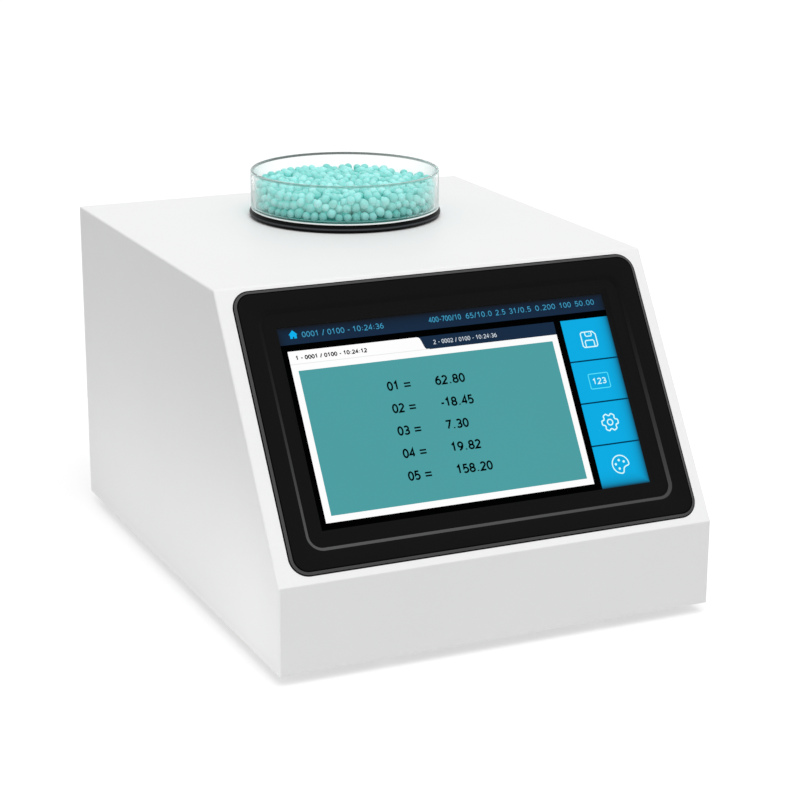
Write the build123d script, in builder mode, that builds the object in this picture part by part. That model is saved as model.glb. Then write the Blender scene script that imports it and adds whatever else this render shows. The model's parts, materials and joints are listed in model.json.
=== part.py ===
from build123d import *
from math import cos, hypot, radians, sin, sqrt
import os

# Sphere colorimeter for the bench, in millimetres. +X is right, +Y is back, +Z is up.
# The origin is the middle of the footprint, on the bench.

# Case
body_width = 202
body_depth = 257
body_height = 145
foot_height = 5
front_height = 38
slope_run = 69.5
sheet = 1.6
bend_radius = 0.9
lip_width = 12
rear_recess = 5
rear_flange = 10

# Clearances
seat_gap = 0.2
part_gap = 0.3
thread_gap = 0.05
running_gap = 0.05
hole_gap = 0.2

# Screws
m3_shank = 1.5
m3_head = 2.8
m3_head_height = 1.7
m2_shank = 1.0
m2_head = 1.9
m2_head_height = 1.3
m3 = (m3_shank, m3_head, m3_head_height)
m2 = (m2_shank, m2_head, m2_head_height)

# Feet and case screws
foot_radius = 8
foot_inset = 26
foot_bore_depth = 3
foot_screw_grip = 4
case_screw_grip = 5
base_screw_pitch = 90
base_front_screw_pitch = 100
panel_screw_pitch = 45
panel_top_screw_pitch = 60

# Screen stack, along the slope's normal
bezel_side_margin = 5.8
bezel_off_centre = 0.75
bezel_crest_margin = 1.7
bezel_toe_margin = 3.2
bezel_rim = 9.05
bezel_corner = 8.3
bezel_rise = 0.9
bezel_bevel = 2.0
recess_corner = 7.4
recess_wall = 2.15
recess_depth = 1.2
glass_lap = 1.2
glass_thickness = 1.8
gasket_thickness = 0.5
skirt_wall = 2.2
lcd_side_margin = 2.7
lcd_end_margin = 1.3
lcd_thickness = 5.7
lcd_frame_side = 5.2
lcd_frame_end = 6.1
lcd_frame_step = 0.3
lcd_rise = 0.8
stud_radius = 1.5
stud_edge = 2.9
stud_length = 7
stud_pitch_side = 36
stud_pitch_end = 62
nut_flats = 5.5
nut_height = 2.4
bracket_sheet = 1.2
bracket_ear_edge = 3.4
bracket_end_margin = 5
bracket_window = (60, 30)
board_thickness = 1.6
display_board_size = (120, 70)
display_standoff_height = 5
display_chip = (24, 24, 2.5)
board_screw_inset = 4
display_screw_grip = 4

# Measuring port
port_x = 9.7
port_to_rear = 67.2
ring_radius = 45.5
ring_height = 3.4
ring_round = 1.65
spigot_radius = 30.9
spigot_length = 3
aperture_radius = 25
aperture_flare = 2
window_radius = 29
window_thickness = 2
window_gasket = 0.5
retainer_radius = 37
retainer_lip = 1.2
retainer_bore_radius = 27
window_screw_edge = 3
window_screw_count = 4
window_screw_grip = 8

# Sample dish
dish_radius = 44.75
dish_height = 18.2
dish_wall = 1.5
dish_floor = 1.2
dish_base_ring = 0.4
dish_base_ring_width = 1.5
dish_rim_round = 0.6
sample_below_rim = 5.5
mound_height = 2.5
mound_pitch = 16

# Integrating sphere
sphere_radius = 50
sphere_wall = 4
collar_radius = 38
collar_height = 18
ear_radius = 6.5
ear_offset = 59.4
ear_thickness = 4
ear_count = 4
ear_turn = 45
post_radius = 5
sphere_screw_grip = 14
baffle_drop = 12
baffle_width = 24
baffle_depth = 12
baffle_thickness = 1.2

# Viewing and specular ports, tilted off the vertical, and the lamp port below the equator
view_angle = 8
boss_length = 8
view_boss_radius = 12
view_bore_radius = 6
lamp_angle = 30
lamp_boss_radius = 17
lamp_bore_radius = 8

# Swinging arms and their motors
arm_thickness = 3
arm_width = 6
hub_radius = 4.5
motor_radius = 7.5
motor_length = 10
shaft_radius = 1.5
bracket_thickness = 3
filter_arm_reach = 28
filter_seat_radius = 10.5
filter_radius = 8.5
filter_lip = 1.0
filter_lip_radius = 7.5
trap_arm_reach = 24
trap_plug_radius = 9

# Lamp
spacer_width = 4
spacer_start = 150
spacer_sweep = 180
lamp_tube_radius = 12
lamp_tube_bore = 9
lamp_ledge_bore = 7.5
lamp_ledge = 4.4
lamp_length = 33
condenser_thickness = 4
flash_lamp_radius = 5
flash_lamp_length = 12
lamp_board_radius = 15
lamp_flange_screw_radius = 14.9
lamp_flange_screw_count = 3
lamp_board_screw_radius = 10.5
lamp_screw_grip = 5

# Detector channel and light trap
detector_radius = 8
detector_bore = 5
detector_lens_radius = 6.9
detector_lens_seat = 4
detector_lens_thickness = 2.5
light_trap_radius = 9
light_trap_mouth = 7.5
light_trap_tip = 1.5
light_trap_depth = 11

# Spectrometer, on the floor under the sphere
spectrometer_width = 70
spectrometer_depth = 62
spectrometer_height = 16
spectrometer_wall = 3
spectrometer_floor = 2
spectrometer_lid_thickness = 2
slit_size = (1.2, 4)
fold_mirror_size = 9
grating_size = (5, 18, 11)
grating_hollow_radius = 40
grating_from_wall = 6
sensor_board_size = (44, 11)
sensor_chip = (2, 30, 6)
sensor_from_wall = 0.3

# Circuit boards on the floor
standoff_height = 8
standoff_radius = 3
main_board_width = 150
main_board_depth = 84
main_board_from_front = 16
processor_can = (34, 30, 4)
capacitor_radius = 5
capacitor_height = 11
connector_board_width = 70
connector_board_depth = 26
board_screw_grip = 5

# Rear connectors, left to right from the middle of the connector board
connector_pitch = 21
usb_host_size = (14.4, 15, 7)
usb_host_mouth = (12.4, 4.9)
usb_host_tongue = (10.4, 1.8)
usb_host_tongue_rise = 0.5
usb_device_size = (12, 16, 11)
usb_device_mouth = (8.6, 7.9)
usb_device_tongue = (5.4, 3)
socket_depth = 9
tongue_setback = 1.8
jack_size = (9.4, 13, 11)
jack_barrel_radius = 4.4
jack_bore_radius = 3.2
jack_pin_radius = 1

# Power switch
switch_from_side = 29
switch_z = 27
switch_width = 13
switch_height = 19
switch_flange = 1.2
switch_flange_lap = 1.2
switch_depth = 15
switch_pocket_depth = 8
switch_wall = 1.2
rocker_half_height = 7
rocker_tilt = 8
rocker_pivot_depth = 1.9
rocker_end_rise = 5.3
rocker_middle_rise = 4.3
rocker_foot = 2.5
rocker_foot_drop = 3.2
rocker_pin_radius = 1
rocker_pin_length = 0.8
terminal_size = (0.8, 4.8)
terminal_length = 7
terminal_pitch = 7

# Rear vents
vent_length = 34
vent_width = 3
vent_pitch_x = 46
vent_pitch_z = 7
vent_columns = 2
vent_rows = 5
vent_z = 98
vent_x = 9.7

# Screen ribbon
ribbon_width = 26
ribbon_thickness = 0.6
ribbon_bend = 5
ribbon_exit = 8
ribbon_from_board_edge = 6

# Places that follow from the sizes
front_y = -body_depth / 2
rear_y = body_depth / 2
case_bottom = foot_height
case_top = foot_height + body_height
toe_z = case_bottom + front_height
crest_y = front_y + slope_run
slope_rise = case_top - toe_z
slope_length = hypot(slope_run, slope_rise)
inner_half_width = body_width / 2 - sheet
floor_z = case_bottom + sheet
panel_y = rear_y - rear_recess
panel_back = panel_y - sheet
flange_front = panel_back - sheet
tray_half_width = inner_half_width - part_gap
tray_front = front_y + sheet + part_gap

# The slope's plane has its origin at the middle of the bezel, +Y up the slope and +Z out of it.
bezel_width = body_width - 2 * bezel_side_margin
bezel_height = slope_length - bezel_crest_margin - bezel_toe_margin
bezel_from_crest = bezel_crest_margin + bezel_height / 2
slope_down = Vector(0, -slope_run, -slope_rise).normalized()
slope_out = Vector(0, -slope_rise, slope_run).normalized()
slope_origin = Vector(bezel_off_centre, crest_y, case_top) + slope_down * bezel_from_crest
slope_plane = Plane(origin=slope_origin, x_dir=(1, 0, 0), z_dir=slope_out)

recess_width = bezel_width - 2 * bezel_rim
recess_height = bezel_height - 2 * bezel_rim
opening_width = recess_width - 2 * recess_wall
opening_height = recess_height - 2 * recess_wall
opening_corner = recess_corner - recess_wall
glass_width = opening_width + 2 * glass_lap
glass_height = opening_height + 2 * glass_lap
pocket_width = glass_width + 2 * part_gap
pocket_height = glass_height + 2 * part_gap
skirt_width = pocket_width + 2 * skirt_wall
skirt_height = pocket_height + 2 * skirt_wall
cutout_width = skirt_width + 2 * part_gap
cutout_height = skirt_height + 2 * part_gap
lcd_width = glass_width - 2 * lcd_side_margin
lcd_height = glass_height - 2 * lcd_end_margin
lit_width = lcd_width - 2 * lcd_frame_side
lit_height = lcd_height - 2 * lcd_frame_end

glass_top = bezel_rise - recess_depth
glass_back = glass_top - glass_thickness
lcd_top = glass_back - gasket_thickness
lcd_back = lcd_top - lcd_thickness
skirt_back = lcd_back + part_gap
bracket_back = lcd_back - bracket_sheet
bracket_width = skirt_width + 2 * (part_gap + bracket_sheet)
bracket_height = lcd_height - 2 * bracket_end_margin
display_board_front = bracket_back - display_standoff_height
display_board_back = display_board_front - board_thickness

stud_x = bezel_width / 2 - stud_edge
stud_y = bezel_height / 2 - stud_edge
side_studs = [(x, row * stud_pitch_side) for x in (-stud_x, stud_x) for row in (-1, 0, 1)]
end_studs = [(column * stud_pitch_end, y) for y in (-stud_y, stud_y) for column in (-1, 0, 1)]

# Measuring port stack, from the case's top down to the sphere's port plane
port_y = rear_y - port_to_rear
port_spot = (port_x, port_y)
ring_bottom = case_top + seat_gap
ring_top = ring_bottom + ring_height
cover_hole_radius = spigot_radius + running_gap
retainer_top = ring_bottom - spigot_length - part_gap
window_top = retainer_top - retainer_lip
window_bottom = window_top - window_thickness
port_plane_z = window_bottom - window_gasket
retainer_inner_radius = window_radius + part_gap
window_screw_radius = retainer_radius - window_screw_edge
dish_bottom = ring_top + seat_gap
dish_top = dish_bottom + dish_height
sample_bottom = dish_bottom + dish_base_ring + dish_floor
sample_top = dish_top - sample_below_rim
sample_radius = dish_radius - dish_wall - part_gap

# Sphere: the port plane cuts it where its section is as wide as the aperture
port_rise = sqrt(sphere_radius**2 - aperture_radius**2)
sphere_z = port_plane_z - port_rise
sphere_centre = Vector(port_x, port_y, sphere_z)
sphere_outer = sphere_radius + sphere_wall
equator = Plane.XY.offset(sphere_z)
port_centre = Vector(port_x, port_y, port_plane_z)
view_sin = sin(radians(view_angle))
view_cos = cos(radians(view_angle))
view_chord = port_rise * view_cos + sqrt(sphere_radius**2 - (port_rise * view_sin) ** 2)
view_face = view_chord + boss_length
detector_plane = Plane(origin=port_centre, x_dir=(view_cos, 0, view_sin), z_dir=(view_sin, 0, -view_cos))
trap_plane = Plane(origin=port_centre, x_dir=(-view_cos, 0, view_sin), z_dir=(-view_sin, 0, -view_cos))
lamp_dir = Vector(0, -cos(radians(lamp_angle)), -sin(radians(lamp_angle)))
lamp_plane = Plane(origin=sphere_centre, x_dir=(1, 0, 0), z_dir=lamp_dir)
lamp_face = sphere_radius + boss_length

filter_arm_start = lamp_face + part_gap
filter_arm_end = filter_arm_start + arm_thickness
lamp_start = filter_arm_end + part_gap
lamp_flange_end = lamp_start + bracket_thickness
lamp_end = lamp_start + lamp_length
condenser_start = lamp_start + lamp_ledge
trap_arm_start = view_face + part_gap
trap_arm_end = trap_arm_start + arm_thickness
light_trap_start = trap_arm_end + part_gap
light_trap_flange_end = light_trap_start + bracket_thickness

# Spectrometer and boards
lid_z = floor_z + spectrometer_height
lid_top = lid_z + spectrometer_lid_thickness
slit_reach = (port_plane_z - lid_top) / view_cos
slit_x = port_x + slit_reach * view_sin
spectrometer_left = port_x - spectrometer_width / 2
spectrometer_right = port_x + spectrometer_width / 2
board_bottom = floor_z + standoff_height
board_top = board_bottom + board_thickness
main_board_y = front_y + main_board_from_front + main_board_depth / 2
connector_board_rear = flange_front - part_gap
connector_board_y = connector_board_rear - connector_board_depth / 2

# Power switch, with its pivot behind the rear panel's outer face
switch_x = body_width / 2 - switch_from_side
rocker_y = panel_y - rocker_pivot_depth

foot_grid = (body_width - 2 * foot_inset, body_depth - 2 * foot_inset)
lip_middle = inner_half_width - lip_width / 2
tray_side_spots = [(x, row * base_screw_pitch) for x in (-lip_middle, lip_middle) for row in (-1, 0, 1)]
tray_front_y = front_y + sheet + lip_width / 2
tray_front_spots = [(side * base_front_screw_pitch / 2, tray_front_y) for side in (-1, 1)]
base_screw_spots = tray_side_spots + tray_front_spots

panel_middle_z = (floor_z + case_top) / 2
panel_side_x = inner_half_width - rear_flange / 2
panel_top_z = case_top - sheet - rear_flange / 2
tray_flange_height = standoff_height - part_gap
panel_bottom_z = floor_z + tray_flange_height / 2
panel_side_spots = [
    (x, panel_middle_z + row * panel_screw_pitch) for x in (-panel_side_x, panel_side_x) for row in (-1, 0, 1)
]
panel_top_spots = [(column * panel_top_screw_pitch, panel_top_z) for column in (-1, 0, 1)]
panel_bottom_spots = [(column * panel_top_screw_pitch, panel_bottom_z) for column in (-1, 1)]
panel_flange_spots = panel_side_spots + panel_top_spots
panel_spots = panel_flange_spots + panel_bottom_spots


def cross_plane(y):
    """Plane across the case: local X is +X, local Y is +Z, and its normal points to the front."""
    return Plane.XZ.offset(-y)


def block(x_span, y_span, z_span, mode=Mode.ADD):
    """Box between the low and high values on each axis."""
    low = Vector(x_span[0], y_span[0], z_span[0])
    high = Vector(x_span[1], y_span[1], z_span[1])
    size = high - low
    with Locations((low + high) * 0.5):
        Box(size.X, size.Y, size.Z, mode=mode)


def pins(plane, spots, radius, length):
    """Round pins at the spots, from the plane along its normal."""
    with BuildPart() as group:
        with BuildSketch(plane):
            with Locations(*spots):
                Circle(radius)
        extrude(amount=length)
    return group


def screws(plane, spots, screw, grip):
    """Pan-head screws: the heads stand on the plane and the shanks reach grip behind it."""
    shank_radius, head_radius, head_height = screw
    with BuildPart() as group:
        with BuildSketch(plane):
            with Locations(*spots):
                Circle(head_radius)
        extrude(amount=head_height)
        with BuildSketch(plane):
            with Locations(*spots):
                Circle(shank_radius)
        extrude(amount=-grip)
    return group


def standoffs(plane, spots, height):
    """Round pillars on the plane, bored for a thread from end to end."""
    with BuildPart() as group:
        with BuildSketch(plane):
            with Locations(*spots):
                Circle(standoff_radius)
            with Locations(*spots):
                Circle(m2_shank + thread_gap, mode=Mode.SUBTRACT)
        extrude(amount=height)
    return group


def corner_spots(width, depth, x=0, y=0):
    """The four fixing spots of a board, in from its corners."""
    half_width = width / 2 - board_screw_inset
    half_depth = depth / 2 - board_screw_inset
    return [(x + sx * half_width, y + sy * half_depth) for sx in (-1, 1) for sy in (-1, 1)]


def arm_outline(reach, pad_radius):
    """In the current sketch, a round pad on the axis and a hub for the motor's shaft, joined by a bar."""
    Circle(pad_radius)
    with Locations((reach / 2, 0)):
        Rectangle(reach, arm_width)
    with Locations((reach, 0)):
        Circle(hub_radius)
        Circle(shaft_radius + running_gap, mode=Mode.SUBTRACT)


def arm_motor(plane, reach, shaft_length):
    """Small motor on the far side of its bracket, with the shaft reaching back through it."""
    with BuildPart() as motor:
        with BuildSketch(plane):
            with Locations((reach, 0)):
                Circle(motor_radius)
        extrude(amount=motor_length)
        with BuildSketch(plane):
            with Locations((reach, 0)):
                Circle(shaft_radius)
        extrude(amount=-shaft_length)
    return motor


# ---- Case ----

case_profile = [
    (front_y, case_bottom),
    (rear_y, case_bottom),
    (rear_y, case_top),
    (crest_y, case_top),
    (front_y, toe_z),
]
# The cavity runs out through the bottom and the back.
cavity_profile = [
    (front_y, case_bottom - sheet),
    (rear_y + sheet, case_bottom - sheet),
    (rear_y + sheet, case_top),
    (crest_y, case_top),
    (front_y, toe_z),
]

with BuildPart() as housing_cover:
    with BuildSketch(Plane.YZ):
        with BuildLine():
            Polyline(*case_profile, close=True)
        make_face()
    extrude(amount=body_width / 2, both=True)
    cut_edges = edges().group_by(Axis.Z)[0] + edges().group_by(Axis.Y)[-1]
    fillet(edges() - cut_edges, radius=bend_radius)
    with BuildSketch(Plane.YZ):
        with BuildLine():
            Polyline(*cavity_profile, close=True)
        make_face()
        offset(amount=-sheet, kind=Kind.INTERSECTION)
    extrude(amount=inner_half_width, both=True, mode=Mode.SUBTRACT)
    # Lips under the case that the base tray is screwed to
    lip_rear = flange_front - part_gap
    lip_front = front_y + sheet
    lip_spans = [
        ((-inner_half_width, lip_width - inner_half_width), (lip_front, lip_rear)),
        ((inner_half_width - lip_width, inner_half_width), (lip_front, lip_rear)),
        ((-inner_half_width, inner_half_width), (lip_front, lip_front + lip_width)),
    ]
    for x_span, y_span in lip_spans:
        block(x_span, y_span, (floor_z, floor_z + sheet))
    # Flange that the rear panel is screwed to
    with BuildSketch(cross_plane(panel_back)):
        flange_height = case_top - floor_z
        with Locations((0, floor_z + flange_height / 2)):
            Rectangle(2 * inner_half_width, flange_height)
        open_height = flange_height - sheet - rear_flange
        with Locations((0, floor_z + open_height / 2)):
            Rectangle(2 * (inner_half_width - rear_flange), open_height, mode=Mode.SUBTRACT)
    extrude(amount=sheet)
    with BuildSketch(Plane.XY.offset(case_top)):
        with Locations(port_spot):
            Circle(cover_hole_radius)
    extrude(amount=-2 * sheet, mode=Mode.SUBTRACT)
    with BuildSketch(slope_plane):
        RectangleRounded(cutout_width, cutout_height, recess_corner)
        with Locations(*side_studs, *end_studs):
            Circle(stud_radius + hole_gap)
    extrude(amount=-2 * sheet, mode=Mode.SUBTRACT)
    with BuildSketch(Plane.XY.offset(floor_z)):
        with Locations(*base_screw_spots):
            Circle(m3_shank + thread_gap)
    extrude(amount=sheet, mode=Mode.SUBTRACT)
    with BuildSketch(cross_plane(panel_back)):
        with Locations(*panel_flange_spots):
            Circle(m3_shank + thread_gap)
    extrude(amount=sheet, mode=Mode.SUBTRACT)
housing_cover.part.label = "housing_cover"

with BuildPart() as base_tray:
    block((-tray_half_width, tray_half_width), (tray_front, panel_back), (case_bottom, floor_z))
    tray_flange_half = inner_half_width - rear_flange - part_gap
    tray_flange_top = floor_z + tray_flange_height
    block((-tray_flange_half, tray_flange_half), (flange_front, panel_back), (floor_z, tray_flange_top))
    with BuildSketch(Plane.XY.offset(case_bottom)):
        with Locations(*base_screw_spots):
            Circle(m3_shank + hole_gap)
        with GridLocations(*foot_grid, 2, 2):
            Circle(m3_shank + thread_gap)
    extrude(amount=sheet, mode=Mode.SUBTRACT)
    with BuildSketch(cross_plane(panel_back)):
        with Locations(*panel_bottom_spots):
            Circle(m3_shank + thread_gap)
    extrude(amount=sheet, mode=Mode.SUBTRACT)
base_tray.part.label = "base_tray"

base_head_spots = [(x, -y) for x, y in base_screw_spots]
base_screws = screws(-Plane.XY.offset(case_bottom), base_head_spots, m3, case_screw_grip)
base_screws.part.label = "base_screws"

with BuildPart() as feet:
    with BuildSketch():
        with GridLocations(*foot_grid, 2, 2):
            Circle(foot_radius)
    extrude(amount=foot_height)
    with BuildSketch():
        with GridLocations(*foot_grid, 2, 2):
            Circle(m3_head + hole_gap)
    extrude(amount=foot_bore_depth, mode=Mode.SUBTRACT)
    with BuildSketch():
        with GridLocations(*foot_grid, 2, 2):
            Circle(m3_shank + hole_gap)
    extrude(amount=foot_height, mode=Mode.SUBTRACT)
feet.part.label = "feet"

foot_spots = [(sx * foot_grid[0] / 2, sy * foot_grid[1] / 2) for sx in (-1, 1) for sy in (-1, 1)]
foot_screws = screws(-Plane.XY.offset(foot_bore_depth), foot_spots, m3, foot_screw_grip)
foot_screws.part.label = "foot_screws"

usb_host_x = port_x - connector_pitch
jack_x = port_x + connector_pitch
usb_host_z = board_top + usb_host_size[2] / 2
usb_device_z = board_top + usb_device_size[2] / 2
jack_z = board_top + jack_size[2] / 2

with BuildPart() as rear_panel:
    panel_half = tray_half_width
    block((-panel_half, panel_half), (panel_back, panel_y), (case_bottom, case_top - sheet - part_gap))
    with BuildSketch(cross_plane(panel_y)):
        with Locations(*panel_spots):
            Circle(m3_shank + hole_gap)
        with Locations((vent_x, vent_z)):
            with GridLocations(vent_pitch_x, vent_pitch_z, vent_columns, vent_rows):
                SlotOverall(vent_length, vent_width)
        with Locations((usb_host_x, usb_host_z)):
            Rectangle(usb_host_size[0] + 2 * part_gap, usb_host_size[2] + 2 * part_gap)
        with Locations((port_x, usb_device_z)):
            Rectangle(usb_device_size[0] + 2 * part_gap, usb_device_size[2] + 2 * part_gap)
        with Locations((jack_x, jack_z)):
            Circle(jack_barrel_radius + part_gap)
        with Locations((switch_x, switch_z)):
            Rectangle(switch_width + 2 * part_gap, switch_height + 2 * part_gap)
    extrude(amount=sheet, mode=Mode.SUBTRACT)
rear_panel.part.label = "rear_panel"

panel_head_spots = [(x, -z) for x, z in panel_spots]
rear_panel_screws = screws(-cross_plane(panel_y), panel_head_spots, m3, case_screw_grip)
rear_panel_screws.part.label = "rear_panel_screws"

# ---- Screen ----

with BuildPart() as display_bezel:
    with BuildSketch(slope_plane):
        RectangleRounded(bezel_width, bezel_height, bezel_corner)
    with BuildSketch(slope_plane.offset(bezel_rise)):
        bevelled_corner = bezel_corner - bezel_bevel
        RectangleRounded(bezel_width - 2 * bezel_bevel, bezel_height - 2 * bezel_bevel, bevelled_corner)
    loft()
    with BuildSketch(slope_plane):
        RectangleRounded(skirt_width, skirt_height, recess_corner)
    extrude(amount=skirt_back)
    # Sloped recess down to the glass
    with BuildSketch(slope_plane.offset(bezel_rise)):
        RectangleRounded(recess_width, recess_height, recess_corner)
    with BuildSketch(slope_plane.offset(glass_top)):
        RectangleRounded(opening_width, opening_height, opening_corner)
    loft(mode=Mode.SUBTRACT)
    with BuildSketch(slope_plane.offset(glass_top)):
        RectangleRounded(pocket_width, pocket_height, opening_corner)
    extrude(amount=skirt_back - glass_top, mode=Mode.SUBTRACT)
    with BuildSketch(slope_plane):
        with Locations(*side_studs, *end_studs):
            Circle(stud_radius)
    extrude(amount=-stud_length)
display_bezel.part.label = "display_bezel"

with BuildPart() as touch_glass:
    with BuildSketch(slope_plane.offset(glass_top)):
        RectangleRounded(glass_width, glass_height, opening_corner)
    extrude(amount=-glass_thickness)
touch_glass.part.label = "touch_glass"

with BuildPart() as panel_gasket:
    with BuildSketch(slope_plane.offset(glass_back)):
        with Locations((0, lcd_rise)):
            Rectangle(lcd_width, lcd_height)
            Rectangle(lit_width, lit_height, mode=Mode.SUBTRACT)
    extrude(amount=-gasket_thickness)
panel_gasket.part.label = "panel_gasket"

with BuildPart() as lcd_module:
    with BuildSketch(slope_plane.offset(lcd_top)):
        with Locations((0, lcd_rise)):
            Rectangle(lcd_width, lcd_height)
    extrude(amount=-lcd_thickness)
    # The lit area lies a step below its frame
    with BuildSketch(slope_plane.offset(lcd_top)):
        with Locations((0, lcd_rise)):
            Rectangle(lit_width, lit_height)
    extrude(amount=-lcd_frame_step, mode=Mode.SUBTRACT)
lcd_module.part.label = "lcd_module"

display_board_spots = corner_spots(*display_board_size)
bracket_wall_x = bracket_width / 2 - bracket_sheet / 2
bracket_ear_end = stud_x + bracket_ear_edge
bracket_ear_middle = (bracket_wall_x + bracket_ear_end) / 2

with BuildPart() as display_bracket:
    with BuildSketch(slope_plane.offset(bracket_back)):
        Rectangle(bracket_width, bracket_height)
        Rectangle(*bracket_window, mode=Mode.SUBTRACT)
    extrude(amount=bracket_sheet)
    with BuildSketch(slope_plane.offset(bracket_back)):
        with Locations((-bracket_wall_x, 0), (bracket_wall_x, 0)):
            Rectangle(bracket_sheet, bracket_height)
    extrude(amount=-sheet - bracket_back)
    with BuildSketch(slope_plane.offset(-sheet)):
        with Locations((-bracket_ear_middle, 0), (bracket_ear_middle, 0)):
            Rectangle(bracket_ear_end - bracket_wall_x, bracket_height)
    extrude(amount=-bracket_sheet)
    with BuildSketch(slope_plane.offset(-sheet)):
        with Locations(*side_studs):
            Circle(stud_radius + hole_gap)
    extrude(amount=-bracket_sheet, mode=Mode.SUBTRACT)
    with BuildSketch(slope_plane.offset(bracket_back)):
        with Locations(*display_board_spots):
            Circle(m2_shank + thread_gap)
    extrude(amount=bracket_sheet, mode=Mode.SUBTRACT)
display_bracket.part.label = "display_bracket"

with BuildPart() as bezel_nuts:
    with BuildSketch(slope_plane.offset(-sheet - bracket_sheet)):
        with Locations(*side_studs):
            RegularPolygon(nut_flats / 2, 6, major_radius=False, rotation=30)
            Circle(stud_radius + thread_gap, mode=Mode.SUBTRACT)
    extrude(amount=-nut_height)
    with BuildSketch(slope_plane.offset(-sheet)):
        with Locations(*end_studs):
            RegularPolygon(nut_flats / 2, 6, major_radius=False)
            Circle(stud_radius + thread_gap, mode=Mode.SUBTRACT)
    extrude(amount=-nut_height)
bezel_nuts.part.label = "bezel_nuts"

display_board_plane = slope_plane.offset(display_board_front)
display_standoffs = standoffs(display_board_plane, display_board_spots, display_standoff_height)
display_standoffs.part.label = "display_standoffs"

with BuildPart() as display_board:
    with BuildSketch(display_board_plane):
        Rectangle(*display_board_size)
        with Locations(*display_board_spots):
            Circle(m2_shank + hole_gap, mode=Mode.SUBTRACT)
    extrude(amount=-board_thickness)
    with BuildSketch(slope_plane.offset(display_board_back)):
        Rectangle(display_chip[0], display_chip[1])
    extrude(amount=-display_chip[2])
display_board.part.label = "display_board"

display_back_plane = -slope_plane.offset(display_board_back)
display_screw_spots = [(x, -y) for x, y in display_board_spots]
display_screws = screws(display_back_plane, display_screw_spots, m2, display_screw_grip)
display_screws.part.label = "display_screws"

# ---- Measuring port ----

# Half section of the ring: radius across, height up
with BuildPart() as port_ring:
    with BuildSketch(Plane.XZ.offset(-port_y)) as ring_section:
        with BuildLine():
            Polyline(
                (port_x + aperture_radius, ring_top),
                (port_x + ring_radius, ring_top),
                (port_x + ring_radius, ring_bottom),
                (port_x + spigot_radius, ring_bottom),
                (port_x + spigot_radius, ring_bottom - spigot_length),
                (port_x + aperture_radius + aperture_flare, ring_bottom - spigot_length),
                close=True,
            )
        make_face()
        fillet(ring_section.vertices().group_by(Axis.X)[-1], radius=ring_round)
    revolve(axis=Axis(port_centre, (0, 0, 1)))
port_ring.part.label = "port_ring"

with BuildPart() as window_gasket_ring:
    with BuildSketch(Plane.XY.offset(port_plane_z)):
        with Locations(port_spot):
            Circle(window_radius)
            Circle(retainer_bore_radius, mode=Mode.SUBTRACT)
    extrude(amount=window_gasket)
window_gasket_ring.part.label = "window_gasket"

with BuildPart() as port_window:
    with BuildSketch(Plane.XY.offset(window_bottom)):
        with Locations(port_spot):
            Circle(window_radius)
    extrude(amount=window_thickness)
port_window.part.label = "port_window"

def ears(bore):
    """In the current sketch, the sphere's four ears, each webbed to the wall and bored."""
    with Locations(port_spot):
        with PolarLocations(ear_offset, ear_count, ear_turn):
            Circle(ear_radius)
            Rectangle(ear_radius, 2 * ear_radius, align=(Align.MAX, Align.CENTER))
        with PolarLocations(ear_offset, ear_count, ear_turn):
            Circle(bore, mode=Mode.SUBTRACT)


def polar_spots(radius, count, start=0, x=0, y=0):
    """Evenly spaced spots on a circle."""
    return [(x + place.position.X, y + place.position.Y) for place in PolarLocations(radius, count, start)]


window_screw_spots = polar_spots(window_screw_radius, window_screw_count, 0, port_x, port_y)

with BuildPart() as window_retainer:
    with BuildSketch(Plane.XY.offset(port_plane_z)):
        with Locations(port_spot):
            Circle(retainer_radius)
            Circle(retainer_bore_radius, mode=Mode.SUBTRACT)
    extrude(amount=retainer_top - port_plane_z)
    with BuildSketch(Plane.XY.offset(port_plane_z)):
        with Locations(port_spot):
            Circle(retainer_inner_radius)
    extrude(amount=window_top - port_plane_z, mode=Mode.SUBTRACT)
    with BuildSketch(Plane.XY.offset(port_plane_z)):
        with Locations(*window_screw_spots):
            Circle(m2_shank + hole_gap)
    extrude(amount=retainer_top - port_plane_z, mode=Mode.SUBTRACT)
window_retainer.part.label = "window_retainer"

window_screws = screws(Plane.XY.offset(retainer_top), window_screw_spots, m2, window_screw_grip)
window_screws.part.label = "window_screws"

# ---- Sample dish ----

with BuildPart() as petri_dish:
    with BuildSketch(Plane.XY.offset(dish_bottom)):
        with Locations(port_spot):
            Circle(dish_radius)
    extrude(amount=dish_height)
    # The floor stands on a low ring, as moulded dishes do
    with BuildSketch(Plane.XY.offset(dish_bottom)):
        with Locations(port_spot):
            Circle(dish_radius - dish_base_ring_width)
    extrude(amount=dish_base_ring, mode=Mode.SUBTRACT)
    with BuildSketch(Plane.XY.offset(sample_bottom)):
        with Locations(port_spot):
            Circle(dish_radius - dish_wall)
    extrude(amount=dish_height, mode=Mode.SUBTRACT)
    fillet(edges().group_by(Axis.Z)[-1], radius=dish_rim_round)
petri_dish.part.label = "petri_dish"

# The granules' uneven top is a mound in the middle with two rings of mounds round it
mound_radius = mound_pitch / 2 - part_gap
mound_sphere_radius = (mound_radius**2 + mound_height**2) / (2 * mound_height)
mound_spots = [port_spot]
for ring, mounds in ((1, 6), (2, 12)):
    mound_spots += polar_spots(ring * mound_pitch, mounds, 0, port_x, port_y)

with BuildPart() as granule_sample:
    with Locations(*[(x, y, sample_top - mound_sphere_radius) for x, y in mound_spots]):
        Sphere(mound_sphere_radius)
    with BuildSketch(Plane.XY.offset(sample_top - mound_height)):
        Rectangle(2 * body_width, 2 * body_depth)
    extrude(amount=-body_height, mode=Mode.SUBTRACT)
    with BuildSketch(Plane.XY.offset(sample_bottom)):
        with Locations(port_spot):
            Circle(sample_radius)
    extrude(amount=sample_top - mound_height - sample_bottom)
granule_sample.part.label = "granule_sample"

# ---- Integrating sphere ----

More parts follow.
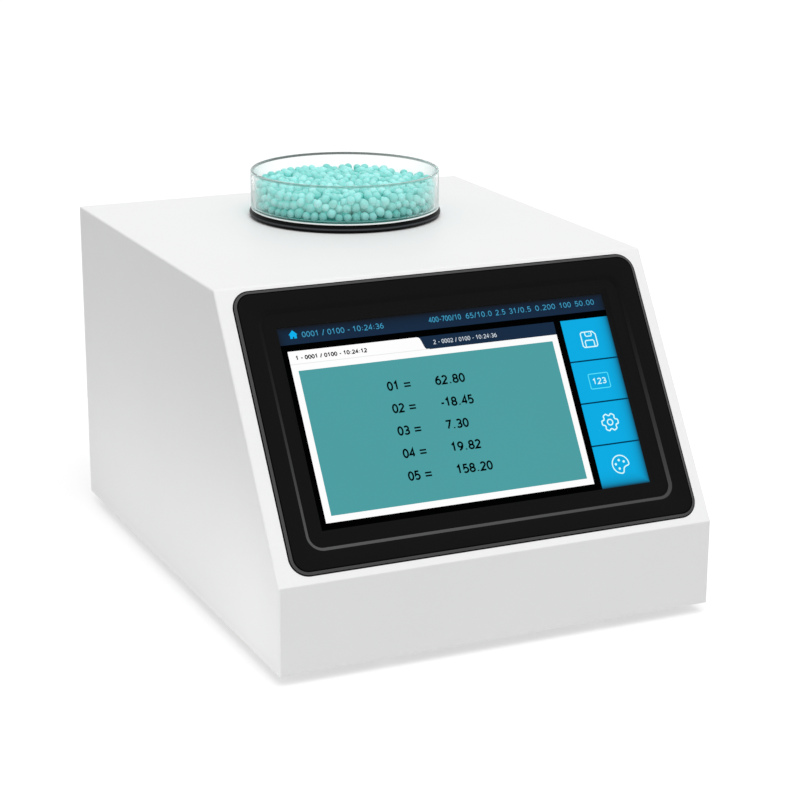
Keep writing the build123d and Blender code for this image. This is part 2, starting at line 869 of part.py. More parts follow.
ear_spots = polar_spots(ear_offset, ear_count, ear_turn, port_x, port_y)

with BuildPart() as sphere_upper:
    with Locations(sphere_centre):
        Sphere(sphere_outer)
    with BuildSketch(Plane.XY.offset(port_plane_z)):
        with Locations(port_spot):
            Circle(collar_radius)
    extrude(amount=-collar_height)
    with Locations(sphere_centre):
        Sphere(sphere_radius, mode=Mode.SUBTRACT)
    split(bisect_by=equator, keep=Keep.TOP)
    split(bisect_by=Plane.XY.offset(port_plane_z), keep=Keep.BOTTOM)
    with BuildSketch(equator):
        ears(m3_shank + hole_gap)
    extrude(amount=ear_thickness)
    with BuildSketch(Plane.XY.offset(port_plane_z)):
        with Locations(*window_screw_spots):
            Circle(m2_shank + thread_gap)
    extrude(amount=-window_screw_grip, mode=Mode.SUBTRACT)
sphere_upper.part.label = "sphere_upper"

view_boss_start = view_chord - boss_length
lamp_boss_start = sphere_radius - boss_length
bosses = [
    (detector_plane, view_boss_start, view_face, view_boss_radius, view_bore_radius),
    (trap_plane, view_boss_start, view_face, view_boss_radius, light_trap_mouth),
    (lamp_plane, lamp_boss_start, lamp_face, lamp_boss_radius, lamp_bore_radius),
]
# Three screws spread over the part-round spacer
lamp_screw_turn = spacer_sweep / lamp_flange_screw_count
lamp_flange_spots = [
    (lamp_flange_screw_radius * cos(radians(turn)), lamp_flange_screw_radius * sin(radians(turn)))
    for turn in (spacer_start + lamp_screw_turn * (step + 0.5) for step in range(lamp_flange_screw_count))
]

with BuildPart() as sphere_lower:
    with Locations(sphere_centre):
        Sphere(sphere_outer)
    for plane, start, end, boss_radius, bore_radius in bosses:
        with BuildSketch(plane.offset(start)):
            Circle(boss_radius)
        extrude(amount=end - start)
    with Locations(sphere_centre):
        Sphere(sphere_radius, mode=Mode.SUBTRACT)
    split(bisect_by=equator, keep=Keep.BOTTOM)
    for plane, start, end, boss_radius, bore_radius in bosses:
        with BuildSketch(plane.offset(start)):
            Circle(bore_radius)
        extrude(amount=end - start, mode=Mode.SUBTRACT)
    with BuildSketch(equator):
        ears(m3_shank + hole_gap)
    extrude(amount=-ear_thickness)
    with BuildSketch(lamp_plane.offset(lamp_face)):
        with Locations(*lamp_flange_spots):
            Circle(m2_shank + thread_gap)
    extrude(amount=-lamp_screw_grip, mode=Mode.SUBTRACT)
sphere_lower.part.label = "sphere_lower"

sphere_screws = screws(Plane.XY.offset(sphere_z + ear_thickness), ear_spots, m3, sphere_screw_grip)
sphere_screws.part.label = "sphere_screws"

post_top = sphere_z - ear_thickness
with BuildPart() as sphere_posts:
    with BuildSketch(Plane.XY.offset(floor_z)):
        with Locations(*ear_spots):
            Circle(post_radius)
    extrude(amount=post_top - floor_z)
    with BuildSketch(Plane.XY.offset(post_top)):
        with Locations(*ear_spots):
            Circle(m3_shank + thread_gap)
    extrude(amount=2 * ear_thickness - sphere_screw_grip, mode=Mode.SUBTRACT)
sphere_posts.part.label = "sphere_posts"

# Shade between the lamp's port and the sample, rooted on the sphere's wall
with BuildPart() as sphere_baffle:
    baffle_z = sphere_z - baffle_drop
    baffle_reach = sqrt(sphere_radius**2 - baffle_drop**2)
    baffle_y = (port_y - sphere_radius, port_y - baffle_reach + baffle_depth)
    block(
        (port_x - baffle_width / 2, port_x + baffle_width / 2),
        baffle_y,
        (baffle_z, baffle_z + baffle_thickness),
    )
    with Locations(sphere_centre):
        Sphere(sphere_radius - running_gap, mode=Mode.INTERSECT)
sphere_baffle.part.label = "sphere_baffle"

# ---- Lamp, with its swinging ultraviolet filter ----

with BuildPart() as filter_arm:
    with BuildSketch(lamp_plane.offset(filter_arm_start)):
        arm_outline(filter_arm_reach, filter_seat_radius)
    extrude(amount=arm_thickness)
    with BuildSketch(lamp_plane.offset(filter_arm_start)):
        Circle(filter_lip_radius)
    extrude(amount=arm_thickness, mode=Mode.SUBTRACT)
    with BuildSketch(lamp_plane.offset(filter_arm_start)):
        Circle(filter_radius + running_gap)
    extrude(amount=arm_thickness - filter_lip, mode=Mode.SUBTRACT)
filter_arm.part.label = "filter_arm"

with BuildPart() as uv_filter:
    with BuildSketch(lamp_plane.offset(filter_arm_start)):
        Circle(filter_radius)
    extrude(amount=arm_thickness - filter_lip)
uv_filter.part.label = "uv_filter"

lamp_board_spots = [(0, -lamp_board_screw_radius), (0, lamp_board_screw_radius)]

with BuildPart() as lamp_housing:
    # Flange with the motor's ear
    with BuildSketch(lamp_plane.offset(lamp_start)):
        Circle(lamp_boss_radius)
        with Locations((filter_arm_reach / 2, 0)):
            Rectangle(filter_arm_reach, 2 * motor_radius)
        with Locations((filter_arm_reach, 0)):
            Circle(motor_radius)
            Circle(shaft_radius + running_gap, mode=Mode.SUBTRACT)
    extrude(amount=bracket_thickness)
    with BuildSketch(lamp_plane.offset(lamp_start)):
        Circle(lamp_tube_radius)
    extrude(amount=lamp_length)
    # Part-round spacer that leaves the filter's slot open
    with BuildSketch(lamp_plane.offset(lamp_face)):
        with BuildLine():
            CenterArc((0, 0), lamp_boss_radius, spacer_start, spacer_sweep)
            CenterArc((0, 0), lamp_boss_radius - spacer_width, spacer_start, spacer_sweep)
            for angle in (spacer_start, spacer_start + spacer_sweep):
                PolarLine(
                    Vector(lamp_boss_radius - spacer_width, 0).rotate(Axis.Z, angle), spacer_width, angle
                )
        make_face()
    extrude(amount=lamp_start - lamp_face)
    with BuildSketch(lamp_plane.offset(lamp_start)):
        Circle(lamp_ledge_bore)
    extrude(amount=lamp_length, mode=Mode.SUBTRACT)
    with BuildSketch(lamp_plane.offset(condenser_start)):
        Circle(lamp_tube_bore)
    extrude(amount=lamp_length, mode=Mode.SUBTRACT)
    with BuildSketch(lamp_plane.offset(lamp_face)):
        with Locations(*lamp_flange_spots):
            Circle(m2_shank + hole_gap)
    extrude(amount=lamp_flange_end - lamp_face, mode=Mode.SUBTRACT)
    with BuildSketch(lamp_plane.offset(lamp_end)):
        with Locations(*lamp_board_spots):
            Circle(m2_shank + thread_gap)
    extrude(amount=-lamp_screw_grip, mode=Mode.SUBTRACT)
lamp_housing.part.label = "lamp_housing"

with BuildPart() as condenser_lens:
    with BuildSketch(lamp_plane.offset(condenser_start)):
        Circle(lamp_tube_bore - running_gap)
    extrude(amount=condenser_thickness)
condenser_lens.part.label = "condenser_lens"

flash_lamp = pins(lamp_plane.offset(lamp_end), [(0, 0)], flash_lamp_radius, -flash_lamp_length)
flash_lamp.part.label = "flash_lamp"

with BuildPart() as lamp_board:
    with BuildSketch(lamp_plane.offset(lamp_end)):
        Circle(lamp_board_radius)
        with Locations(*lamp_board_spots):
            Circle(m2_shank + hole_gap, mode=Mode.SUBTRACT)
    extrude(amount=board_thickness)
lamp_board.part.label = "lamp_board"

lamp_flange_plane = lamp_plane.offset(lamp_flange_end)
lamp_flange_grip = lamp_flange_end - lamp_face + lamp_screw_grip
lamp_flange_screws = screws(lamp_flange_plane, lamp_flange_spots, m2, lamp_flange_grip)
lamp_flange_screws.part.label = "lamp_flange_screws"

lamp_back_plane = lamp_plane.offset(lamp_end + board_thickness)
lamp_board_screws = screws(lamp_back_plane, lamp_board_spots, m2, lamp_screw_grip)
lamp_board_screws.part.label = "lamp_board_screws"

filter_motor = arm_motor(lamp_flange_plane, filter_arm_reach, lamp_flange_end - filter_arm_start)
filter_motor.part.label = "filter_motor"

# ---- Specular port: a swinging white plug over a light trap ----

with BuildPart() as trap_arm:
    with BuildSketch(trap_plane.offset(trap_arm_start)):
        arm_outline(trap_arm_reach, trap_plug_radius)
    extrude(amount=arm_thickness)
trap_arm.part.label = "trap_arm"

with BuildPart() as light_trap:
    with BuildSketch(trap_plane.offset(light_trap_start)):
        Circle(light_trap_radius)
    extrude(amount=slit_reach)
    with BuildSketch(trap_plane.offset(light_trap_start)):
        Circle(light_trap_mouth)
    with BuildSketch(trap_plane.offset(light_trap_start + light_trap_depth)):
        Circle(light_trap_tip)
    loft(mode=Mode.SUBTRACT)
    with BuildSketch(trap_plane.offset(light_trap_start)):
        with Locations((trap_arm_reach / 2, 0)):
            Rectangle(trap_arm_reach, 2 * motor_radius)
        with Locations((trap_arm_reach, 0)):
            Circle(motor_radius)
            Circle(shaft_radius + running_gap, mode=Mode.SUBTRACT)
        Circle(light_trap_radius, mode=Mode.SUBTRACT)
    extrude(amount=bracket_thickness)
    # It stands flat on the spectrometer's lid
    split(bisect_by=Plane.XY.offset(lid_top), keep=Keep.TOP)
light_trap.part.label = "light_trap"

trap_flange_plane = trap_plane.offset(light_trap_flange_end)
trap_motor = arm_motor(trap_flange_plane, trap_arm_reach, light_trap_flange_end - trap_arm_start)
trap_motor.part.label = "trap_motor"

# ---- Detector channel ----

with BuildPart() as detector_tube:
    with BuildSketch(detector_plane.offset(view_face)):
        Circle(detector_radius)
        Circle(detector_bore, mode=Mode.SUBTRACT)
    extrude(amount=slit_reach)
    with BuildSketch(detector_plane.offset(view_face)):
        Circle(detector_lens_radius + running_gap)
    extrude(amount=detector_lens_seat, mode=Mode.SUBTRACT)
    split(bisect_by=Plane.XY.offset(lid_top), keep=Keep.TOP)
detector_tube.part.label = "detector_tube"

lens_seat_plane = detector_plane.offset(view_face + detector_lens_seat)
detector_lens = pins(lens_seat_plane, [(0, 0)], detector_lens_radius, -detector_lens_thickness)
detector_lens.part.label = "detector_lens"

# ---- Spectrometer ----

spectrometer_x = (spectrometer_left, spectrometer_right)
spectrometer_y = (port_y - spectrometer_depth / 2, port_y + spectrometer_depth / 2)
spectrometer_inner_x = (spectrometer_left + spectrometer_wall, spectrometer_right - spectrometer_wall)
spectrometer_inner_y = (spectrometer_y[0] + spectrometer_wall, spectrometer_y[1] - spectrometer_wall)
spectrometer_inner_z = floor_z + spectrometer_floor
lid_screw_spots = corner_spots(spectrometer_width, spectrometer_depth, port_x, port_y)

with BuildPart() as spectrometer_housing:
    block(spectrometer_x, spectrometer_y, (floor_z, lid_z))
    block(spectrometer_inner_x, spectrometer_inner_y, (spectrometer_inner_z, lid_z), Mode.SUBTRACT)
    with BuildSketch(Plane.XY.offset(floor_z)):
        with Locations(*lid_screw_spots):
            Circle(standoff_radius)
    extrude(amount=spectrometer_height)
    with BuildSketch(Plane.XY.offset(lid_z)):
        with Locations(*lid_screw_spots):
            Circle(m2_shank + thread_gap)
    extrude(amount=-lamp_screw_grip, mode=Mode.SUBTRACT)
spectrometer_housing.part.label = "spectrometer_housing"

with BuildPart() as spectrometer_lid:
    block(spectrometer_x, spectrometer_y, (lid_z, lid_top))
    with BuildSketch(Plane.XY.offset(lid_z)):
        with Locations(*lid_screw_spots):
            Circle(m2_shank + hole_gap)
        with Locations((slit_x, port_y)):
            Rectangle(*slit_size)
    extrude(amount=spectrometer_lid_thickness, mode=Mode.SUBTRACT)
spectrometer_lid.part.label = "spectrometer_lid"

lid_screw_grip = spectrometer_lid_thickness + lamp_screw_grip
spectrometer_screws = screws(Plane.XY.offset(lid_top), lid_screw_spots, m2, lid_screw_grip)
spectrometer_screws.part.label = "spectrometer_screws"

# Wedge under the slit that turns the light towards the grating
with BuildPart() as fold_mirror:
    mirror_half = fold_mirror_size / 2
    with BuildSketch(cross_plane(port_y)):
        with BuildLine():
            Polyline(
                (slit_x - mirror_half, spectrometer_inner_z),
                (slit_x + mirror_half, spectrometer_inner_z),
                (slit_x + mirror_half, spectrometer_inner_z + fold_mirror_size),
                close=True,
            )
        make_face()
    extrude(amount=mirror_half, both=True)
fold_mirror.part.label = "fold_mirror"

grating_x = spectrometer_inner_x[0] + grating_from_wall
with BuildPart() as grating:
    grating_thickness, grating_width, grating_height = grating_size
    block(
        (grating_x, grating_x + grating_thickness),
        (port_y - grating_width / 2, port_y + grating_width / 2),
        (spectrometer_inner_z, spectrometer_inner_z + grating_height),
    )
    # Hollow face towards the slit
    hollow_x = grating_x + grating_thickness + grating_hollow_radius - grating_thickness / 2
    with BuildSketch(Plane.XY.offset(spectrometer_inner_z)):
        with Locations((hollow_x, port_y)):
            Circle(grating_hollow_radius)
    extrude(amount=grating_height, mode=Mode.SUBTRACT)
grating.part.label = "grating"

sensor_board_x = spectrometer_inner_x[1] - sensor_from_wall - board_thickness
with BuildPart() as sensor_board:
    sensor_board_width, sensor_board_height = sensor_board_size
    block(
        (sensor_board_x, sensor_board_x + board_thickness),
        (port_y - sensor_board_width / 2, port_y + sensor_board_width / 2),
        (spectrometer_inner_z, spectrometer_inner_z + sensor_board_height),
    )
    sensor_thickness, sensor_width, sensor_height = sensor_chip
    sensor_z = spectrometer_inner_z + sensor_board_height / 2
    block(
        (sensor_board_x - sensor_thickness, sensor_board_x),
        (port_y - sensor_width / 2, port_y + sensor_width / 2),
        (sensor_z - sensor_height / 2, sensor_z + sensor_height / 2),
    )
sensor_board.part.label = "sensor_board"

# ---- Boards on the floor ----

main_board_spots = corner_spots(main_board_width, main_board_depth, 0, main_board_y)

main_board_standoffs = standoffs(Plane.XY.offset(floor_z), main_board_spots, standoff_height)
main_board_standoffs.part.label = "main_board_standoffs"

with BuildPart() as main_board:
    with BuildSketch(Plane.XY.offset(board_bottom)):
        with Locations((0, main_board_y)):
            Rectangle(main_board_width, main_board_depth)
        with Locations(*main_board_spots):
            Circle(m2_shank + hole_gap, mode=Mode.SUBTRACT)
    extrude(amount=board_thickness)
    with BuildSketch(Plane.XY.offset(board_top)):
        with Locations((-main_board_width / 4, main_board_y)):
            Rectangle(processor_can[0], processor_can[1])
    extrude(amount=processor_can[2])
    with BuildSketch(Plane.XY.offset(board_top)):
        with Locations((main_board_width / 4, main_board_y)):
            with GridLocations(3 * capacitor_radius, 3 * capacitor_radius, 2, 2):
                Circle(capacitor_radius)
    extrude(amount=capacitor_height)
main_board.part.label = "main_board"

main_board_screws = screws(Plane.XY.offset(board_top), main_board_spots, m2, board_screw_grip)
main_board_screws.part.label = "main_board_screws"

connector_spots = corner_spots(connector_board_width, connector_board_depth, port_x, connector_board_y)

connector_standoffs = standoffs(Plane.XY.offset(floor_z), connector_spots, standoff_height)
connector_standoffs.part.label = "connector_standoffs"

with BuildPart() as connector_board:
    with BuildSketch(Plane.XY.offset(board_bottom)):
        with Locations((port_x, connector_board_y)):
            Rectangle(connector_board_width, connector_board_depth)
        with Locations(*connector_spots):
            Circle(m2_shank + hole_gap, mode=Mode.SUBTRACT)
    extrude(amount=board_thickness)
connector_board.part.label = "connector_board"

connector_screws = screws(Plane.XY.offset(board_top), connector_spots, m2, board_screw_grip)
connector_screws.part.label = "connector_screws"

# Flat ribbon from the screen's board down to the main board
with BuildPart() as display_ribbon:
    ribbon_row = ribbon_from_board_edge - display_board_size[1] / 2
    ribbon_start = slope_plane.from_local_coords(Vector(0, ribbon_row, display_board_back))
    ribbon_turn = slope_plane.from_local_coords(Vector(0, ribbon_row, display_board_back - ribbon_exit))
    with BuildSketch(Plane.YZ):
        with BuildLine():
            FilletPolyline(
                (ribbon_start.Y, ribbon_start.Z),
                (ribbon_turn.Y, ribbon_turn.Z),
                (ribbon_turn.Y, board_top),
                radius=ribbon_bend,
            )
        trace(line_width=ribbon_thickness)
    extrude(amount=ribbon_width / 2, both=True)
display_ribbon.part.label = "display_ribbon"

# ---- Rear connectors ----


def socket(spot, shell_size, mouth, tongue, tongue_rise):
    """Board socket with its mouth at the rear panel's outer face and a tongue inside it."""
    shell_width, shell_depth, shell_height = shell_size
    x, z = spot
    with BuildPart() as shell:
        with BuildSketch(cross_plane(panel_y)):
            with Locations(spot):
                Rectangle(shell_width, shell_height)
        extrude(amount=shell_depth)
        with BuildSketch(cross_plane(panel_y)):
            with Locations(spot):
                Rectangle(*mouth)
        extrude(amount=socket_depth, mode=Mode.SUBTRACT)
        with BuildSketch(cross_plane(panel_y - socket_depth)):
            with Locations((x, z + tongue_rise)):
                Rectangle(*tongue)
        extrude(amount=tongue_setback - socket_depth)
    return shell


usb_host_tongue_z = (usb_host_tongue[1] - usb_host_mouth[1]) / 2 + usb_host_tongue_rise
usb_host_spot = (usb_host_x, usb_host_z)
usb_host_socket = socket(usb_host_spot, usb_host_size, usb_host_mouth, usb_host_tongue, usb_host_tongue_z)
usb_host_socket.part.label = "usb_host_socket"

usb_device_spot = (port_x, usb_device_z)
usb_device_socket = socket(usb_device_spot, usb_device_size, usb_device_mouth, usb_device_tongue, 0)
usb_device_socket.part.label = "usb_device_socket"

jack_width, jack_depth, jack_height = jack_size
jack_front = panel_back - part_gap
with BuildPart() as dc_jack:
    with BuildSketch(cross_plane(jack_front)):
        with Locations((jack_x, jack_z)):
            Rectangle(jack_width, jack_height)
    extrude(amount=jack_depth)
    with BuildSketch(cross_plane(panel_y)):
        with Locations((jack_x, jack_z)):
            Circle(jack_barrel_radius)
    extrude(amount=panel_y - jack_front)
    with BuildSketch(cross_plane(panel_y)):
        with Locations((jack_x, jack_z)):
            Circle(jack_bore_radius)
            Circle(jack_pin_radius, mode=Mode.SUBTRACT)
    extrude(amount=socket_depth, mode=Mode.SUBTRACT)
dc_jack.part.label = "dc_jack"

# ---- Power switch ----

switch_front = panel_y + switch_flange
pocket_width_x = switch_width - 2 * switch_wall
pocket_height_z = switch_height - 2 * switch_wall

with BuildPart() as power_switch:
    with BuildSketch(cross_plane(switch_front)):
        with Locations((switch_x, switch_z)):
            Rectangle(switch_width + 2 * switch_flange_lap, switch_height + 2 * switch_flange_lap)
    extrude(amount=switch_flange)
    with BuildSketch(cross_plane(panel_y)):
        with Locations((switch_x, switch_z)):
            Rectangle(switch_width, switch_height)
    extrude(amount=switch_depth)
    with BuildSketch(cross_plane(switch_front)):
        with Locations((switch_x, switch_z)):
            Rectangle(pocket_width_x, pocket_height_z)
    extrude(amount=switch_pocket_depth, mode=Mode.SUBTRACT)
    # Bearings for the rocker's pins
    with BuildSketch(Plane.YZ.offset(switch_x)):
        with Locations((rocker_y, switch_z)):
            Circle(rocker_pin_radius + running_gap)
    extrude(amount=pocket_width_x / 2 + rocker_pin_length, both=True, mode=Mode.SUBTRACT)
    with BuildSketch(cross_plane(panel_y - switch_depth)):
        with Locations((switch_x, switch_z)):
            with GridLocations(0, terminal_pitch, 1, 2):
                Rectangle(*terminal_size)
    extrude(amount=terminal_length)
power_switch.part.label = "power_switch"

# Shallow V across its face; at rest, switched off, the lower end is in and the upper end stands out
with BuildPart() as power_rocker:
    rocker_profile = [
        (-rocker_half_height, 0),
        (-rocker_half_height, rocker_end_rise),
        (0, rocker_middle_rise),
        (rocker_half_height, rocker_end_rise),
        (rocker_half_height, 0),
        (rocker_foot, -rocker_foot_drop),
        (-rocker_foot, -rocker_foot_drop),
    ]
    turned = [Vector(rise, along).rotate(Axis.Z, -rocker_tilt) for along, rise in rocker_profile]
    with BuildSketch(Plane.YZ.offset(switch_x)):
        with BuildLine():
            Polyline(*[(rocker_y + point.X, switch_z + point.Y) for point in turned], close=True)
        make_face()
    extrude(amount=pocket_width_x / 2 - part_gap, both=True)
    with BuildSketch(Plane.YZ.offset(switch_x)):
        with Locations((rocker_y, switch_z)):
            Circle(rocker_pin_radius)
    extrude(amount=pocket_width_x / 2 + rocker_pin_length - part_gap, both=True)
power_rocker.part.label = "power_rocker"

pieces = [
    housing_cover,
    base_tray,
    rear_panel,
    base_screws,
    rear_panel_screws,
    feet,
    foot_screws,
    display_bezel,
    touch_glass,
    panel_gasket,
    lcd_module,
    display_bracket,
    bezel_nuts,
    display_standoffs,
    display_board,
    display_screws,
    port_ring,
    window_gasket_ring,
    port_window,
    window_retainer,
    window_screws,
    petri_dish,
    granule_sample,
    sphere_upper,
    sphere_lower,
    sphere_screws,
    sphere_posts,
    sphere_baffle,
    lamp_housing,
    condenser_lens,
    flash_lamp,
    lamp_board,
    lamp_flange_screws,
    lamp_board_screws,
    filter_arm,
    uv_filter,
    filter_motor,
    trap_arm,
    trap_motor,
    light_trap,
    detector_tube,
    detector_lens,
    spectrometer_housing,
    spectrometer_lid,
    spectrometer_screws,
    fold_mirror,
    grating,
    sensor_board,
    main_board,
    main_board_standoffs,
    main_board_screws,
    display_ribbon,
    connector_board,
    connector_standoffs,
    connector_screws,
    dc_jack,
    usb_device_socket,
    usb_host_socket,
    power_switch,
    power_rocker,
]

os.makedirs("parts", exist_ok=True)
for piece in pieces:
    export_step(piece.part, f"parts/{piece.part.label}.step")
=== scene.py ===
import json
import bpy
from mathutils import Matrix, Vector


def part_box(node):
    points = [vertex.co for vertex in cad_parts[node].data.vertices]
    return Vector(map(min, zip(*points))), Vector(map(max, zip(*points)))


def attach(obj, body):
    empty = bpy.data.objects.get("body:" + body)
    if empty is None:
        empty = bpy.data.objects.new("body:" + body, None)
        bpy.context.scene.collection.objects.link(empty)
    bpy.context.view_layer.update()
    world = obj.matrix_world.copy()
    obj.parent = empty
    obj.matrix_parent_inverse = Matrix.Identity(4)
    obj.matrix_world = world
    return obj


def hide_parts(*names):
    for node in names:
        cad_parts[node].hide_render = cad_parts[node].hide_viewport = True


bl_info = {
    "name": "Benchtop Colorimeter",
    "version": (1, 0, 0),
    "blender": (4, 5, 0),
    "location": "View3D > Sidebar > Colorimeter",
    "description": "Finishes the colorimeter's parts and builds its screen, sample dish and studio",
    "category": "Object",
}

from math import cos, pi, radians, sin

import bmesh
import bpy
import numpy as np
from bpy.props import FloatProperty, FloatVectorProperty, IntProperty, PointerProperty
from mathutils import Matrix, Vector
from mathutils.bvhtree import BVHTree

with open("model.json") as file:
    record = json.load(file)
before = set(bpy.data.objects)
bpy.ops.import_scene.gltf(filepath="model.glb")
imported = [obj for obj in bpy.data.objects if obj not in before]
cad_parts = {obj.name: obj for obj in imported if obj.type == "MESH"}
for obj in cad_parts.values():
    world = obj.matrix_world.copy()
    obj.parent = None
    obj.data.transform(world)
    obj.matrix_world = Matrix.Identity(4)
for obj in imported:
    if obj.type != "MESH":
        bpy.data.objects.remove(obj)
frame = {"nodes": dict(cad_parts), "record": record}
NODES = frame["nodes"]
SLOTS = {part["node"]: part["material_slot"] for part in frame["record"]["subparts"]}
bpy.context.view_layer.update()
MM = 0.001

# The sloping front runs from the top of the front strip up to the crest.
FRONT_HEIGHT = 38 * MM
SLOPE_RUN = 69.5 * MM

# Heights above the slope: the cover glass and the panel at their middles, and the lit picture
GLASS_MIDDLE = -1.2 * MM
LCD_MIDDLE = -5.45 * MM
LIT_DEPTH = -2.9 * MM

# Bezel section, inward from its outline: width of each step in, and height above the slope
BEZEL_SIZE = (190.4 * MM, 122.6912 * MM)
BEZEL_CORNER = 8.3 * MM
RECESS_INSET = 9.05 * MM
RECESS_CORNER = 7.4 * MM
RECESS_WALL = 2.15 * MM
RECESS_FLOOR = -0.3 * MM
POCKET_LAP = 1.5 * MM
BEZEL_GRAIN = dict(grain=2200.0, relief=0.006 * MM)
SKIRT_WALL = 2.2 * MM
SKIRT_BACK = -8.0 * MM
STUD_EDGE = 2.9 * MM
STUD_RADIUS = 1.5 * MM
STUD_LENGTH = 7 * MM
STUD_PITCH = (62 * MM, 36 * MM)

# Screen picture, laid out in dots from its top left corner
PICTURE_WIDTH = 154.6 * MM
PICTURE_DOTS = (1148, 652)
PICTURE_EDGE = 3
DOT = PICTURE_WIDTH / PICTURE_DOTS[0]

# Its layers, from the back to the front, and the height of one layer
BACK, FIELD, BLOCK, MARK = 0.4, 1, 2, 3
LAYER = 0.03 * MM

# How soon the picture's colours fade at its edge
SOFT_FADE = 2.0 * MM
CRISP_FADE = 0.05 * MM

# Black film on the glass round the picture
BORDER_FILM = 0.02 * MM
BORDER_GAP = 0.04 * MM
BORDER_MARGIN = 1.5 * MM
BORDER_CORNER = 0.6 * MM
# Glow of the black round the picture: painted light on the gasket, so that it looks evenly lit without the
# shade that the film and bezel cast on it, and the colour that the picture fades to at its edge.
PAINTED_SURROUND_GLOW = (0.0086, 0.0087, 0.0087)

# Rows of figures: height and stroke in dots, ink and layer
STATUS_FIGURES = dict(height=18.5, stroke=2.4, ink="status", layer=MARK)
OPEN_TAB_FIGURES = dict(height=14.5, stroke=3.3, ink="ink", layer=MARK)
OTHER_TAB_FIGURES = dict(height=14.5, stroke=2.1, ink="tab_figures", layer=MARK)
VALUE_FIGURES = dict(height=31, stroke=5.7, ink="ink", layer=MARK)
BUTTON_FIGURES = dict(height=21, stroke=3.2, ink="icon", layer=MARK)

# Dish section
DISH_WALL = 1.5 * MM
DISH_FLOOR = 0.6 * MM
DISH_BASE_RING = 0.4 * MM
DISH_RIM_ROUND = 0.6 * MM
DISH_LIP = 1.1 * MM
DISH_FOOT = 0.55 * MM
DISH_FILLET = 0.8 * MM
DISH_SOFT_EDGE = 0.2 * MM

# Veil over the dish's wall: its share and steepness edge on, and a mist round one height
EDGE_VEIL = 0.85
EDGE_STEEPNESS = 3.2
MIST = 0.1
MIST_HEIGHT = 8.6 * MM
MIST_REACH = 4.4 * MM

# Painted shade: the dish's lip darkens to its rear tint from front to back over this distance each side of
# its axis.
PAINTED_SHADE_REACH = 40 * MM

# Heap of granules, in millimetres as it is poured: play at the wall, and the finely meshed layers
WALL_PLAY = 0.15
TOP_LAYER = 3.0
WALL_LAYER = 4.0

# Camera: place, angles in degrees, and shift as a share of its frame
CAMERA_PLACE = (-0.404149, -0.904701, 0.367768)
CAMERA_AZIMUTH = 25.004
CAMERA_ELEVATION = 17.992
CAMERA_ROLL = 0.347
CAMERA_SHIFT = (-0.01646, 0.07515)
SENSOR_WIDTH = 36.0


# ---- Sizes and colours ----


def color_property(name, description, default):
    return FloatVectorProperty(
        name=name, description=description, subtype="COLOR", size=3, min=0.0, max=1.0, default=default
    )


class CaseSettings(bpy.types.PropertyGroup):
    coat: color_property("Coat", "Powder coat of the cover and the rear panel", (0.87, 0.872, 0.872))
    coat_roughness: FloatProperty(
        name="Coat Roughness",
        description="Roughness of the powder coat",
        subtype="FACTOR",
        min=0.0,
        max=1.0,
        default=0.5,
    )
    coat_texture: FloatProperty(
        name="Coat Texture",
        description="Height of the powder coat's fine orange peel",
        unit="LENGTH",
        min=0.0,
        default=0.006 * MM,
    )
    tray: color_property("Tray", "Powder coat of the base tray", (0.34, 0.345, 0.35))
    rubber: color_property("Feet", "Rubber of the feet", (0.022, 0.022, 0.023))
    steel: color_property("Screws", "Zinc plate of the screws", (0.6, 0.6, 0.59))


class BezelSettings(bpy.types.PropertyGroup):
    face: color_property("Face", "Moulded face round the screen", (0.0054, 0.0054, 0.0056))
    # The rim colour is the rim's own satin band; the recess wall takes it, 1.2 times brighter, as a painted
    # highlight.
    rim: color_property("Rim", "Satin band of the rim and the recess", (0.08, 0.08, 0.081))
    rise: FloatProperty(
        name="Rise",
        description="Height of the face above the slope",
        unit="LENGTH",
        min=0.0,
        default=0.9 * MM,
    )
    bevel: FloatProperty(
        name="Bevel", description="Width of the bevelled rim", unit="LENGTH", min=0.0, default=1.64 * MM
    )
    groove: FloatProperty(
        name="Groove",
        description="Width of the groove inside the rim",
        unit="LENGTH",
        min=0.0,
        default=0.5 * MM,
    )


class ScreenSettings(bpy.types.PropertyGroup):
    result: color_property("Result", "Field behind the five values", (0.0762, 0.3467, 0.3663))
    button: color_property("Buttons", "Buttons down the right side", (0.0044, 0.4179, 0.7835))
    bar: color_property("Bar", "Status bar and second tab", (0.0097, 0.0262, 0.0590))
    page: color_property("Page", "Page behind the result field", (1.0, 1.0, 1.0))
    status: color_property("Status", "Figures in the status bar", (0.052, 0.33, 0.54))
    glow: FloatProperty(name="Glow", description="Strength of the backlight", min=0.0, default=1.0)


class DishSettings(bpy.types.PropertyGroup):
    glass: color_property("Glass", "Tint of the dish", (0.965, 0.985, 0.98))
    lip: color_property("Lip", "Tint of the dish's rounded lip", (0.62, 0.68, 0.66))
    # The ring colour is that of the highlight painted round the ring's edge; elsewhere the ring is a
    # twentieth of it.
    ring: color_property("Ring", "Anodised port ring", (0.066, 0.071, 0.077))
    granule: color_property("Granules", "Translucent granules", (0.35, 0.81, 0.775))
    granule_size: FloatProperty(
        name="Granule Size",
        description="Mean diameter of a granule",
        unit="LENGTH",
        min=MM,
        default=4.1 * MM,
    )
    granule_spread: FloatProperty(
        name="Granule Spread",
        description="Spread of the diameters",
        unit="LENGTH",
        min=0.0,
        default=0.28 * MM,
    )
    filling: FloatProperty(
        name="Filling",
        description="Share of the heap that is granule",
        subtype="FACTOR",
        min=0.3,
        max=0.74,
        default=0.64,
    )
    level: FloatProperty(
        name="Level", description="Depth of the heap", unit="LENGTH", min=MM, default=10.5 * MM
    )
    seed: IntProperty(name="Seed", description="Seed of the heap", default=7)


